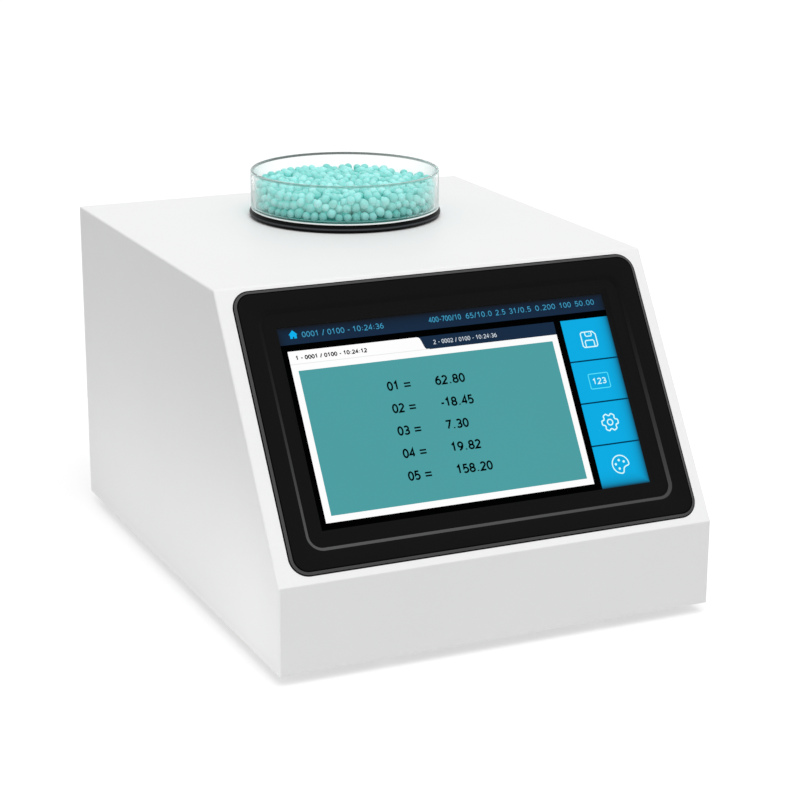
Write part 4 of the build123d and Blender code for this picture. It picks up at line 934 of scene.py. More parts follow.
class COLORIMETER_OT_bezel(bpy.types.Operator):
    """Build the screen's moulded bezel with its bevelled rim and sloped recess"""

    bl_idname = "colorimeter.bezel"
    bl_label = "Bezel"

    def execute(self, context):
        bezel = context.scene.colorimeter_bezel
        width, height = BEZEL_SIZE
        rise, bevel, groove = bezel.rise, bezel.bevel, bezel.groove
        wall_end = RECESS_INSET + RECESS_WALL
        pocket = wall_end - POCKET_LAP
        skirt = pocket - SKIRT_WALL
        face, rim, wall, line = range(4)
        # Bands inked line take a near-black material: painted shade at the bezel's foot, where it meets the
        # slope, and in the groove inside the rim.
        # inset, height, corner radius, material of the band that leads here
        rings = [
            (0.0, 0.0, BEZEL_CORNER, face),
            (0.0, 0.08 * MM, BEZEL_CORNER, line),
            (0.5 * MM, 0.36 * MM, BEZEL_CORNER - 0.5 * MM, line),
            (bevel - 0.2 * MM, rise - 0.06 * MM, BEZEL_CORNER - bevel, rim),
            (bevel, rise - 0.05 * MM, BEZEL_CORNER - bevel - 0.2 * MM, rim),
            (bevel + groove * 0.3, rise - groove * 0.7, BEZEL_CORNER - bevel - groove * 0.3, line),
            (bevel + groove * 0.7, rise - groove * 0.7, BEZEL_CORNER - bevel - groove * 0.7, line),
            (bevel + groove, rise, BEZEL_CORNER - bevel - groove, line),
            (RECESS_INSET - 0.1 * MM, rise, RECESS_CORNER + 0.1 * MM, face),
            (RECESS_INSET + 0.42 * MM, rise - 0.2 * MM, RECESS_CORNER - 0.42 * MM, face),
            (RECESS_INSET + 1.82 * MM, RECESS_FLOOR + 0.18 * MM, RECESS_CORNER - 1.82 * MM, wall),
            (wall_end, RECESS_FLOOR, RECESS_CORNER - RECESS_WALL, face),
            (pocket, RECESS_FLOOR, RECESS_CORNER - RECESS_WALL, face),
            (pocket, SKIRT_BACK, RECESS_CORNER - RECESS_WALL, face),
            (skirt, SKIRT_BACK, RECESS_CORNER, face),
            (skirt, 0.0, RECESS_CORNER, face),
        ]
        steps = 14
        count = 4 * (steps + 1)
        points, faces, inks = [], [], []
        for inset, level, corner, _ in rings:
            outline = rounded_rectangle(width - 2 * inset, height - 2 * inset, corner, steps)
            points += [(x, y, level) for x, y in outline]
        for index in range(len(rings)):
            following = (index + 1) % len(rings)
            near, far = index * count, following * count
            for i in range(count):
                j = (i + 1) % count
                faces.append((near + i, near + j, far + j, far + i))
                inks.append(rings[following][3])
        self.add_studs(points, faces, inks, face)
        plastic = dict(spread=0.08, shade=0.9, specular_ior_level=0.04, **BEZEL_GRAIN)
        moulded = finish("bezel_face", bezel.face, 0.45, **plastic)
        satin_and_painted_highlight = finish("bezel_rim", bezel.rim, 0.4, **plastic)
        # Painted shade: near black for the bezel's foot and its groove.
        painted_line_shade = finish("bezel_painted_line_shade", (0.0015, 0.0015, 0.0016), 0.6, **plastic)
        materials = [moulded, satin_and_painted_highlight, self.wall_finish_with_painted_highlight(bezel), painted_line_shade]
        add_piece(
            "bezel", mesh_from("bezel", points, faces, inks), materials, "chassis",
            replaces=("display_bezel",), sharp=35, place=slope_frame(),
        )
        dress("display_bezel", material=moulded)
        return {"FINISHED"}

    def wall_finish_with_painted_highlight(self, bezel):
        """The recess wall, with a highlight painted into its colour: lighter along the bottom, and more on
        the left than on the right, fading to the face's black up its sides.
        """
        material, tree, shader = new_material("bezel_wall_painted_highlight", specular_ior_level=0.04)
        axes = coordinates(tree)
        # Painted highlight: the wall takes the rim's colour, 1.2 times brighter, most at the bottom, and on
        # the right two thirds as much as on the left.
        down = ramp(tree, axes["Y"], 50 * MM, -45 * MM)
        across = ramp(tree, axes["X"], -86 * MM, 86 * MM, 1.0, 0.66)
        satin_and_painted_highlight = calculate(tree, "MULTIPLY", calculate(tree, "POWER", down, 2.0), across)
        base = mix_colors(tree, satin_and_painted_highlight, opaque(bezel.face), opaque(tinted(bezel.rim, 1.2)))
        color_over(tree, shader, base, 0.4, shade=0.9, spread=0.08)
        roughen(tree, shader, **BEZEL_GRAIN)
        return material

    def add_studs(self, points, faces, inks, ink):
        """Threaded studs under the bezel's flange."""
        edge_x, edge_y = BEZEL_SIZE[0] / 2 - STUD_EDGE, BEZEL_SIZE[1] / 2 - STUD_EDGE
        spots = [(side * edge_x, row * STUD_PITCH[1]) for side in (-1, 1) for row in (-1, 0, 1)]
        spots += [(column * STUD_PITCH[0], side * edge_y) for side in (-1, 1) for column in (-1, 0, 1)]
        turns, cone = 16, 0.4 * MM
        section = [(STUD_RADIUS, 0.0), (STUD_RADIUS, cone - STUD_LENGTH), (STUD_RADIUS * 0.7, -STUD_LENGTH)]
        for x, y in spots:
            start = len(points)
            for radius, level in section:
                points += [(x + a, y + b, level) for a, b in circle(radius, turns)]
            for ring in range(len(section) - 1):
                for i in range(turns):
                    j = (i + 1) % turns
                    low, high = start + ring * turns, start + (ring + 1) * turns
                    faces.append((low + j, low + i, high + i, high + j))
                    inks.append(ink)
            faces.append(tuple(start + (len(section) - 1) * turns + i for i in reversed(range(turns))))
            inks.append(ink)


class Layout:
    """Flat shapes in dots from the picture's top left corner, made into one mesh."""

    def __init__(self, inks):
        self.names = list(inks)
        self.points, self.faces, self.inks = [], [], []

    def place(self, x, y, layer):
        return ((x - PICTURE_DOTS[0] / 2) * DOT, (PICTURE_DOTS[1] / 2 - y) * DOT, layer * LAYER)

    def polygon(self, outline, ink, layer):
        area = sum(a[0] * b[1] - b[0] * a[1] for a, b in zip(outline, outline[1:] + outline[:1]))
        if area > 0:
            outline = outline[::-1]
        start = len(self.points)
        self.points += [self.place(x, y, layer) for x, y in outline]
        self.faces.append(tuple(range(start, start + len(outline))))
        self.inks.append(self.names.index(ink))

    def box(self, left, top, right, bottom, ink, layer):
        self.polygon([(left, top), (right, top), (right, bottom), (left, bottom)], ink, layer)

    def disc(self, x, y, radius, ink, layer, count=20):
        self.polygon([(x + a, y + b) for a, b in circle(radius, count)], ink, layer)

    def line(self, path, width, ink, layer, closed=False):
        """A line of even width with mitred corners."""
        count = len(path)
        sides = []
        for i, (x, y) in enumerate(path):
            before = path[i - 1] if closed or i else path[i]
            after = path[(i + 1) % count] if closed or i < count - 1 else path[i]
            ways = [Vector((b[0] - a[0], b[1] - a[1])) for a, b in ((before, (x, y)), ((x, y), after))]
            ways = [way.normalized() for way in ways if way.length > 1e-9]
            normals = [Vector((-way.y, way.x)) for way in ways]
            mitre = sum(normals, Vector((0, 0))).normalized()
            reach = width / 2 / max(mitre.dot(normals[0]), 0.4)
            across, along = mitre.x * reach, mitre.y * reach
            sides.append(((x + across, y + along), (x - across, y - along)))
        for i in range(count if closed else count - 1):
            first, second = sides[i], sides[(i + 1) % count]
            self.polygon([first[0], second[0], second[1], first[1]], ink, layer)

    def figures(self, text, left, right, middle, height, stroke, ink, layer):
        """A row of stroked figures that fills the width from left to right."""
        tall = height - stroke
        natural = sum(FIGURES[sign][0] for sign in text[:-1]) + FIGURE_WIDTH
        pitch = (right - left - stroke) / natural
        pen = left + stroke / 2
        for sign in text:
            advance, paths = FIGURES[sign]
            for path, closed in paths:
                spots = [(pen + x * pitch, middle + tall / 2 - y * tall) for x, y in path]
                self.line(spots, stroke, ink, layer, closed=closed)
            pen += advance * pitch

    def mesh(self, name):
        return mesh_from(name, self.points, self.faces, self.inks)


def bow(x, y, wide, high, start, end, steps=14):
    """Points of an oval's arc about (x, y), angles in degrees."""
    angles = [radians(start + (end - start) * i / steps) for i in range(steps + 1)]
    return [(x + wide * cos(a), y + high * sin(a)) for a in angles]


def dot(x, y):
    return ([(x, y - 0.05), (x, y + 0.09)], False)


# Plain figures as strokes: the advance, then each path with whether it closes, on a figure one high
FIGURE_WIDTH = 0.55
SIX = [(bow(0.5, 0.33, 0.49, 0.67, 96, 180, 8), False), (bow(0.27, 0.31, 0.26, 0.31, 0, 345, 20), True)]
NINE = [([(0.54 - x, 1.0 - y) for x, y in path], closed) for path, closed in SIX]
EIGHT = [(bow(0.27, 0.75, 0.23, 0.25, 0, 340, 18), True), (bow(0.27, 0.255, 0.27, 0.255, 0, 340, 18), True)]
FIGURES = {
    "0": (0.78, [(bow(0.27, 0.5, 0.27, 0.5, 0, 345, 23), True)]),
    "1": (0.78, [([(0.06, 0.76), (0.3, 1.0), (0.3, 0.0)], False)]),
    "2": (0.78, [(bow(0.27, 0.73, 0.25, 0.27, 160, -30) + [(0.0, 0.0), (0.56, 0.0)], False)]),
    "3": (0.78, [(bow(0.24, 0.745, 0.25, 0.255, 145, -80) + bow(0.24, 0.255, 0.29, 0.255, 80, -148), False)]),
    "4": (0.78, [([(0.42, 0.0), (0.42, 1.0), (0.0, 0.28), (0.58, 0.28)], False)]),
    "5": (0.78, [([(0.49, 1.0), (0.09, 1.0), (0.06, 0.54)] + bow(0.24, 0.31, 0.29, 0.31, 118, -140), False)]),
    "6": (0.78, SIX),
    "7": (0.78, [([(0.0, 1.0), (0.55, 1.0), (0.18, 0.0)], False)]),
    "8": (0.78, EIGHT),
    "9": (0.78, NINE),
    ".": (0.52, [dot(0.13, 0.0)]),
    ":": (0.5, [dot(0.12, 0.12), dot(0.12, 0.62)]),
    "-": (0.58, [([(0.02, 0.4), (0.36, 0.4)], False)]),
    "/": (0.6, [([(0.0, -0.08), (0.36, 1.06)], False)]),
    " ": (0.4, []),
}


class COLORIMETER_OT_screen(bpy.types.Operator):
    """Build the touch screen's picture: status bar, two tabs, five values and four buttons"""

    bl_idname = "colorimeter.screen"
    bl_label = "Screen"

    def execute(self, context):
        screen = context.scene.colorimeter_screen
        glow = screen.glow
        colors = {
            "black": (0.0002, 0.0003, 0.0003),
            "bar": screen.bar,
            "page": screen.page,
            "rule": (0.80, 0.81, 0.81),
            "result": screen.result,
            "button_gap": (0.001, 0.045, 0.105),
            "button": screen.button,
            "ink": (0.0002, 0.0012, 0.0014),
            "home": (0.005, 0.44, 0.86),
            "status": screen.status,
            "icon": (0.70, 1.0, 1.0),
            "frame": (0.11, 0.80, 1.0),
            "tab_figures": (0.62, 0.68, 0.74),
        }
        fades = {"bar": SOFT_FADE, "button": SOFT_FADE}
        inks = {
            name: lit("picture_" + name, color, glow, fades.get(name, CRISP_FADE))
            for name, color in colors.items()
        }
        out = slope_frame()
        normal = out.to_3x3() @ Vector((0, 0, 1))
        middle = sum(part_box("lcd_module"), Vector()) / 2 + normal * (LIT_DEPTH - LCD_MIDDLE)
        place = Matrix.Translation(middle) @ out.to_3x3().to_4x4()
        for name, draw in (
            ("screen_fields", self.draw_fields),
            ("screen_figures", self.draw_figures),
            ("screen_icons", self.draw_icons),
        ):
            layout = Layout(inks)
            draw(layout)
            used = sorted(set(layout.inks))
            layout.inks = [used.index(i) for i in layout.inks]
            materials = [inks[layout.names[i]] for i in used]
            add_piece(name, layout.mesh(name), materials, "chassis", sharp=0, place=place)
        self.add_border_film(out)
        dress("touch_glass", material=clear("cover_glass", (0.996, 0.998, 0.998), 1.002))
        dress("lcd_module")
        # Painted light: the gasket glows faintly, so that the black round the picture looks evenly lit,
        # without the shade cast on it by the film and the bezel.
        gasket = finish(
            "panel_gasket", (0.0005, 0.0005, 0.0005), 0.9, specular_ior_level=0.0,
            emission_color=opaque(PAINTED_SURROUND_GLOW), emission_strength=glow,
        )
        dress("panel_gasket", material=gasket)
        return {"FINISHED"}

    def add_border_film(self, place):
        """The black film that masks the glass from the recess wall to just outside the picture."""
        opening = [size - 2 * (RECESS_INSET + RECESS_WALL + BORDER_GAP) for size in BEZEL_SIZE]
        window = [dots * DOT + 2 * BORDER_MARGIN for dots in PICTURE_DOTS]
        low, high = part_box("lcd_module")
        lift = ((low + high) / 2 - place.translation).dot(place.to_3x3() @ Vector((0, 1, 0)))
        steps = 8
        outer = rounded_rectangle(*opening, RECESS_CORNER - RECESS_WALL, steps)
        inner = [(x, y + lift) for x, y in rounded_rectangle(*window, BORDER_CORNER, steps)]
        count = len(outer)
        points = [(x, y, RECESS_FLOOR + level) for level in (0.0, BORDER_FILM) for x, y in outer + inner]
        faces = []
        for i in range(count):
            j = (i + 1) % count
            low_out, low_in, top_out, top_in = 0, count, 2 * count, 3 * count
            faces.append((top_out + i, top_out + j, top_in + j, top_in + i))
            faces.append((low_out + j, low_out + i, low_in + i, low_in + j))
            faces.append((low_out + i, low_out + j, top_out + j, top_out + i))
            faces.append((low_in + j, low_in + i, top_in + i, top_in + j))
        film = finish(
            "border_film", (0.0053, 0.0053, 0.0055), 0.5, grain=2000.0, relief=0.002 * MM,
            specular_ior_level=0.04,
        )
        mesh = mesh_from("border_film", points, faces)
        add_piece("border_film", mesh, [film], "chassis", place=place)

    def draw_fields(self, layout):
        width, height = PICTURE_DOTS
        bar_bottom = 57
        tabs_top, tabs_bottom = 78.4, 122
        page_left, page_right, page_bottom = 21, 949, 630
        buttons_left = 973.3
        layout.box(0, 0, width, height, "black", BACK)
        layout.box(0, 0, width, bar_bottom, "bar", FIELD)
        slant = [
            (459, tabs_top), (465, 80), (469, 84), (472, 91), (474.5, 100), (477, 109), (480.5, 117),
            (485, 120.8), (492, tabs_bottom),
        ]
        page_end = [(page_right, page_bottom), (page_left, page_bottom)]
        layout.polygon([*slant, (page_right, tabs_bottom), (page_right, tabs_top)], "bar", FIELD)
        layout.polygon([(page_left, tabs_top), *slant, (page_right, tabs_bottom), *page_end], "page", FIELD)
        layout.box(page_left, 120, 494, 122.2, "rule", BLOCK)
        layout.box(42.5, 143, 928, 609, "result", BLOCK)
        layout.box(buttons_left, 79.4, width, height, "button_gap", FIELD)
        for top, bottom in ((79.4, 219.4), (224.4, 362), (367, 505.3), (510.3, height)):
            layout.box(buttons_left, top, width, bottom, "button", BLOCK)

    def draw_figures(self, layout):
        layout.figures("0001 / 0100 - 10:24:36", 80, 357, 28, **STATUS_FIGURES)
        for left, right, text in (
            (514, 628, "400-700/10"),
            (645, 738, "65/10.0"),
            (752, 787, "2.5"),
            (801, 880, "31/0.5"),
            (896, 969, "0.200"),
            (984, 1027, "100"),
            (1042, 1113, "50.00"),
        ):
            layout.figures(text, left, right, 26.5, **STATUS_FIGURES)
        layout.figures("1 - 0001 / 0100 - 10:24:12", 42, 283, 101.5, **OPEN_TAB_FIGURES)
        layout.figures("2 - 0002 / 0100 - 10:24:36", 512, 737, 100.4, **OTHER_TAB_FIGURES)
        first_row, row_pitch, bar_height = 226.8, 73.5, 5.2
        rows = (("62.80", 591), ("-18.45", 603), ("7.30", 567), ("19.82", 591), ("158.20", 613.5))
        for row, (value, right) in enumerate(rows):
            middle = first_row + row_pitch * row
            layout.figures(f"{row + 1:02d}", 320.5, 363, middle, **VALUE_FIGURES)
            for bar in (middle - 3.8, middle + 6.2):
                layout.box(379, bar - bar_height / 2, 401, bar + bar_height / 2, "ink", MARK)
            layout.figures(value, 486, right, middle, **VALUE_FIGURES)

    def draw_icons(self, layout):
        self.draw_home(layout, 51.2, 24.6)
        self.draw_disk(layout, 1061, 151.2)
        self.draw_counter(layout, 1060.1, 293.8)
        self.draw_gear(layout, 1060.4, 435.8)
        self.draw_palette(layout, 1059.8, 578.7)

    def draw_home(self, layout, x, y):
        door = [(2.2, 13.5), (2.2, 7.5), (-2.2, 7.5), (-2.2, 13.5)]
        house = [(0, -14), (15, 1), (11, 1), (11, 13.5), *door, (-11, 13.5), (-11, 1), (-15, 1)]
        layout.polygon([(x + a, y + b) for a, b in house], "home", MARK)

    def draw_disk(self, layout, x, y):
        case = [(17, -26), (27, -16), (27, 21), (22, 26), (-22, 26), (-27, 21), (-27, -21), (-22, -26)]
        layout.line([(x + a, y + b) for a, b in case], 3.9, "icon", MARK, closed=True)
        shutter = [(-10.5, -26), (-10.5, -15), (-7.5, -11), (9.5, -11), (12.5, -15), (12.5, -26)]
        layout.line([(x + a, y + b) for a, b in shutter], 3.6, "icon", MARK)
        layout.disc(x + 4.5, y - 19, 2.4, "frame", MARK)
        label = [(-16, 26), (-16, 7), (-12.5, 3), (12.5, 3), (16, 7), (16, 26)]
        layout.line([(x + a, y + b) for a, b in label], 3.6, "icon", MARK)

    def draw_counter(self, layout, x, y):
        case = rounded_rectangle(72.5, 50.6, 5, 4)
        layout.line([(x + a, y + b) for a, b in case], 2.7, "frame", MARK, closed=True)
        layout.figures("123", x - 25.5, x + 25.5, y + 0.5, **BUTTON_FIGURES)

    def draw_gear(self, layout, x, y):
        teeth, steps, middle, tooth = 6, 96, 25.9, 3.5
        rim = []
        for i in range(steps):
            angle = 2 * pi * i / steps
            radius = middle + tooth * max(-1.0, min(1.0, 2.0 * cos(teeth * angle) + 0.6))
            rim.append((x + radius * cos(angle), y + radius * sin(angle)))
        layout.line(rim, 4.2, "icon", MARK, closed=True)
        layout.line([(x + a, y + b) for a, b in circle(9.6, 32)], 4.0, "icon", MARK, closed=True)

    def draw_palette(self, layout, x, y):
        rim = arc((x, y), 30.0, 4, -270, 44)
        bite = [(5.4, 26), (7.0, 20), (9.0, 13), (15.5, 8.2), (26, 5.2)]
        layout.line(rim + [(x + a, y + b) for a, b in bite], 4.0, "icon", MARK, closed=True)
        for a, b in ((-3.6, -14.4), (13.2, -8.0), (-17.4, -2.2), (-7.4, 13.4)):
            layout.disc(x + a, y + b, 4.1, "icon", MARK)


# ---- Measuring port and dish ----


class COLORIMETER_OT_port(bpy.types.Operator):
    """Finish the port ring, its window and the retainer below it"""

    bl_idname = "colorimeter.port"
    bl_label = "Measuring Port"

    def execute(self, context):
        dress("port_ring", material=self.ring_finish_with_painted_highlight(context.scene.colorimeter_dish.ring))
        dress("port_window", material=clear("window_glass", (0.98, 0.99, 0.99), 1.46))
        dress("window_gasket", "window_retainer", "window_screws")
        return {"FINISHED"}

    def ring_finish_with_painted_highlight(self, color):
        """Black anodising, with a highlight painted into it as a lighter band round the ring's edge, a little
        below its top.
        """
        material, tree, shader = new_material("ring_anodised_painted_highlight", specular_ior_level=0.03)
        _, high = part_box("port_ring")
        # Painted highlight: the ring's colour shows only in a band round its edge; above and below it the
        # ring is a twentieth of it, near black.
        middle, core, reach = high.z - 1.7 * MM, 0.12 * MM, 0.62 * MM
        away = calculate(tree, "ABSOLUTE", calculate(tree, "SUBTRACT", coordinates(tree)["Z"], middle))
        band = ramp(tree, away, core, reach, 1.0, 0.0)
        base = mix_colors(tree, band, opaque(tinted(color, 0.05)), opaque(color))
        color_over(tree, shader, base, 0.33, shade=0.88, spread=0.1)
        roughen(tree, shader, 2400.0, 0.004 * MM)
        return material


def dish_axis():
    """The foot of the dish's axis, its outer radius and its height."""
    low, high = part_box("petri_dish")
    foot = Vector(((low.x + high.x) / 2, (low.y + high.y) / 2, low.z))
    return foot, (high.x - low.x) / 2, high.z - low.z


class COLORIMETER_OT_dish(bpy.types.Operator):
    """Build the clear dish with its round rim and moulded foot"""

    bl_idname = "colorimeter.dish"
    bl_label = "Dish"

    def execute(self, context):
        foot, outer, height = dish_axis()
        inner = outer - DISH_WALL
        floor = DISH_BASE_RING + DISH_FLOOR
        rim, soft, fillet = DISH_RIM_ROUND, DISH_SOFT_EDGE, DISH_FILLET
        profile = [(0.0, DISH_BASE_RING), (inner - soft, DISH_BASE_RING)]
        foot_start = len(profile) - 1
        profile += [(inner, DISH_BASE_RING - soft), (inner + soft, 0.0), (outer - soft, 0.0)]
        profile += arc((outer - soft, soft), soft, -90, 0, 2)[1:]
        profile.append((outer, DISH_FOOT))
        foot_end = len(profile) - 1
        profile.append((outer, height - DISH_LIP))
        lip_start = len(profile) - 1
        profile += arc((outer - rim, height - rim), rim, 0, 90, 6)
        profile += arc((inner + rim, height - rim), rim, 90, 180, 6)
        profile.append((inner, height - DISH_LIP))
        lip_end = len(profile) - 1
        profile += arc((inner - fillet, floor + fillet), fillet, 0, -90, 5)
        profile.append((0.0, floor))
        segments = 180
        points, faces = lathe(profile, segments)
        inks = []
        for band in (face // segments for face in range(len(faces))):
            inks.append(1 if lip_start <= band < lip_end else 2 if foot_start <= band < foot_end else 0)
        mesh = mesh_from("sample_dish", points, faces, inks)
        dish = context.scene.colorimeter_dish
        lets = dict(passing_light=(0.92, 0.96, 0.955), roughness=0.02)
        glass = clear("dish_glass", dish.glass, 1.2, veil=(0.86, 0.95, 0.935), **lets)
        # The lip's rear tint, about a fifth of its colour, is painted shade at the back of the lip.
        lip = clear("dish_lip", dish.lip, 1.45, rear=tinted(dish.lip, 0.22), **lets)
        # Painted highlight: the foot band is an opaque white, standing in for the bright glass edge of the
        # dish's base.
        foot_painted_highlight = finish("dish_foot_painted_highlight", (0.95, 0.97, 0.97), 0.5, shade=0.98, spread=0.05)
        add_piece(
            "sample_dish", mesh, [glass, lip, foot_painted_highlight], "sample", replaces=("petri_dish",),
            sharp=40, place=Matrix.Translation(foot),
        )
        dress("petri_dish", material=glass)
        return {"FINISHED"}


def pour(radius, level, mean, spread, filling, seed):
    """Centres and radii of granules that have settled in a round dish, in millimetres from its floor.
    A lid comes down on the heap as it settles, and levels it."""
    supply, steps, rounds, push_share = 3000, 620, 3, 1.4
    lid_falls, fall_slows, fall_ends = 250, 350, 500
    pairs_kept, pair_margin = 10, 0.8
    rng = np.random.default_rng(seed)
    radii = np.clip(rng.normal(mean, spread, supply), mean - 2 * spread, mean + 2 * spread) / 2
    room = pi * radius**2 * level * filling
    radii = radii[: int(np.searchsorted(np.cumsum(4 / 3 * pi * radii**3), room))]
    count = len(radii)
    angle = rng.uniform(0, 2 * pi, count)
    reach = (radius - radii) * np.sqrt(rng.uniform(0, 1, count))
    start = radii + rng.uniform(0, level * 1.5, count)
    place = np.stack([reach * np.cos(angle), reach * np.sin(angle), start], 1)
    touching = radii[:, None] + radii[None, :]
    for step in range(steps):
        lid = level + 1.5 if step > lid_falls else 3 * level
        if step % pairs_kept == 0:
            apart = ((place[:, None] - place[None]) ** 2).sum(2)
            first, second = np.nonzero(np.triu(apart < (touching + pair_margin) ** 2, 1))
        fall = 0.12 if step < fall_slows else 0.03 if step < fall_ends else 0.0
        place[:, 2] -= fall
        for _ in range(rounds):
            gap = place[first] - place[second]
            length = np.linalg.norm(gap, axis=1) + 1e-9
            overlap = radii[first] + radii[second] - length
            hit = overlap > 0
            push = gap[hit] / length[hit, None] * overlap[hit, None] * 0.5
            moved, hits = np.zeros_like(place), np.zeros(count)
            np.add.at(moved, first[hit], push)
            np.add.at(moved, second[hit], -push)
            np.add.at(hits, first[hit], 1)
            np.add.at(hits, second[hit], 1)
            place += moved / np.maximum(hits, 1)[:, None] * push_share
            reach = np.hypot(place[:, 0], place[:, 1])
            inside = np.minimum(1, (radius - radii) / np.maximum(reach, 1e-9))
            place[:, :2] *= inside[:, None]
            place[:, 2] = np.clip(place[:, 2], radii, lid - radii)
    return place, radii


def bead_shape(subdivisions, seed):
    """A ball with slight lumps: points and triangles."""
    ball = bmesh.new()
    bmesh.ops.create_icosphere(ball, subdivisions=subdivisions, radius=1.0)
    points = np.array([v.co for v in ball.verts])
    triangles = np.array([[v.index for v in face.verts] for face in ball.faces])
    ball.free()
    rng = np.random.default_rng(seed)
    ways = rng.normal(size=(5, 3))
    lumps = sum(np.sin(2.2 * points @ way + rng.uniform(0, 6)) for way in ways)
    return points * (1 + 0.008 * lumps)[:, None], triangles


class COLORIMETER_OT_granules(bpy.types.Operator):
    """Pour the dish full of small translucent granules"""

    bl_idname = "colorimeter.granules"
    bl_label = "Granules"

    def execute(self, context):
        dish = context.scene.colorimeter_dish
        foot, outer, _ = dish_axis()
        floor = foot.z + DISH_BASE_RING + DISH_FLOOR
        radius, level = (outer - DISH_WALL) / MM - WALL_PLAY, dish.level / MM
        size, spread = dish.granule_size / MM, dish.granule_spread / MM
        place, radii = pour(radius, level, size, spread, dish.filling, dish.seed)
        origin = np.array([foot.x, foot.y, floor])
        reach = np.hypot(place[:, 0], place[:, 1]) + radii
        top = place[:, 2] + radii > level - TOP_LAYER
        wall = ~top & (reach > radius - WALL_LAYER)
        material = self.granule_finish(dish.granule, floor)
        for name, chosen, fineness in (
            ("granules_top", top, 3),
            ("granules_wall", wall, 3),
            ("granules_core", ~top & ~wall, 2),
        ):
            mesh = self.beads(name, place[chosen] * MM + origin, radii[chosen] * MM, fineness, dish.seed)
            piece = add_piece(name, mesh, [material], "sample", sharp=0)
            piece.data.shade_smooth()
            if name == "granules_top":
                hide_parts("granule_sample")
        # The bed takes 0.85 of the granules' colour, and the painted shade towards the floor darkens it
        # further.
        self.add_bed(foot, radius * MM, self.granule_finish(tinted(dish.granule, 0.85), floor))
        dress("granule_sample", material=material)
        return {"FINISHED"}

    def add_bed(self, foot, radius, material):
        """Broken bits that lie under the granules, as one thin lumpy layer on the dish's floor."""
        rng = np.random.default_rng(5)
        count, segments, inset = 12, 72, 0.5 * MM
        bottom = DISH_BASE_RING + DISH_FLOOR + 0.02 * MM
        rings = [radius * step / count for step in range(1, count + 1)]
        edge = rings[-1]
        profile = [(0.0, bottom), (edge - 0.7 * MM, bottom), (edge - 0.3 * MM, bottom + 0.12 * MM)]
        profile += [(reach - inset, bottom + rng.uniform(0.3, 0.5) * MM) for reach in reversed(rings)]
        profile.append((0.0, bottom + 0.4 * MM))
        points, faces = lathe(profile, segments)
        add_piece(
            "granule_bed", mesh_from("granule_bed", points, faces), [material], "sample",
            sharp=0, place=Matrix.Translation(foot),
        )

    def beads(self, name, centres, radii, fineness, seed):
        """One mesh of all the balls, each turned, slightly flattened and with its own tone."""
        kinds, flattening = 4, 0.035
        rng = np.random.default_rng(seed + len(centres))
        shapes = [bead_shape(fineness, kind) for kind in range(kinds)]
        points, faces, tones = [], [], []
        start = 0
        for index, (centre, radius) in enumerate(zip(centres, radii)):
            shape, triangles = shapes[index % kinds]
            turn, _ = np.linalg.qr(rng.normal(size=(3, 3)))
            squeeze = 1 + rng.uniform(-flattening, flattening, 3)
            points.append(shape * squeeze @ turn * radius + centre)
            faces.append((triangles if np.linalg.det(turn) > 0 else triangles[:, ::-1]) + start)
            tones.append(np.full(len(shape), rng.uniform()))
            start += len(shape)
        points, faces, tones = np.concatenate(points), np.concatenate(faces), np.concatenate(tones)
        mesh = bpy.data.meshes.new(name)
        mesh.vertices.add(len(points))
        mesh.vertices.foreach_set("co", points.ravel())
        mesh.loops.add(faces.size)
        mesh.loops.foreach_set("vertex_index", faces.ravel())
        mesh.polygons.add(len(faces))
        mesh.polygons.foreach_set("loop_start", np.arange(0, faces.size, 3))
        mesh.update()
        mesh.attributes.new("tone", "FLOAT", "POINT").data.foreach_set("value", tones)
        return mesh

    def granule_finish(self, color, floor):
        """Each granule in its own tone, and all of them darkened by painted shade towards the dish's floor.
        Shadow rays mostly pass, tinted, so that the light reaches down into the heap."""
        shaded_depth, deepest, passing_share = 7.0 * MM, 0.62, 0.88
        material, tree, shader = new_material(
            "granule", roughness=0.38, specular_ior_level=0.35, subsurface_weight=0.7,
            subsurface_scale=1.2 * MM, subsurface_radius=(0.7, 1.0, 0.95),
        )
        tone = add_node(tree, "ShaderNodeAttribute", attribute_name="tone").outputs["Fac"]
        deep, pale = tinted(color, (0.68, 0.86, 0.84)), tinted(color, (1.3, 1.12, 1.14))
        toned = mix_colors(tree, tone, opaque(deep), opaque(pale))
        # Painted shade: the colour darkens towards the dish's floor, to 0.62 of it there.
        shade = ramp(tree, coordinates(tree)["Z"], floor, floor + shaded_depth, deepest)
        base = mix_colors(tree, 1.0, toned, shade, "MULTIPLY")
        color_over(tree, shader, base, 0.38, patches=260.0, spread=0.12)
        roughen(tree, shader, 1500.0, 0.02 * MM)
        shadow_ray = add_node(tree, "ShaderNodeLightPath").outputs["Is Shadow Ray"]
        passing = calculate(tree, "MULTIPLY", shadow_ray, passing_share)
        through = add_node(tree, "ShaderNodeBsdfTransparent", {"Color": opaque((0.44, 1.0, 0.97))})
        show(tree, mix_shaders(tree, passing, shader.outputs[0], through.outputs[0]))
        return material


# ---- Rear and inside ----


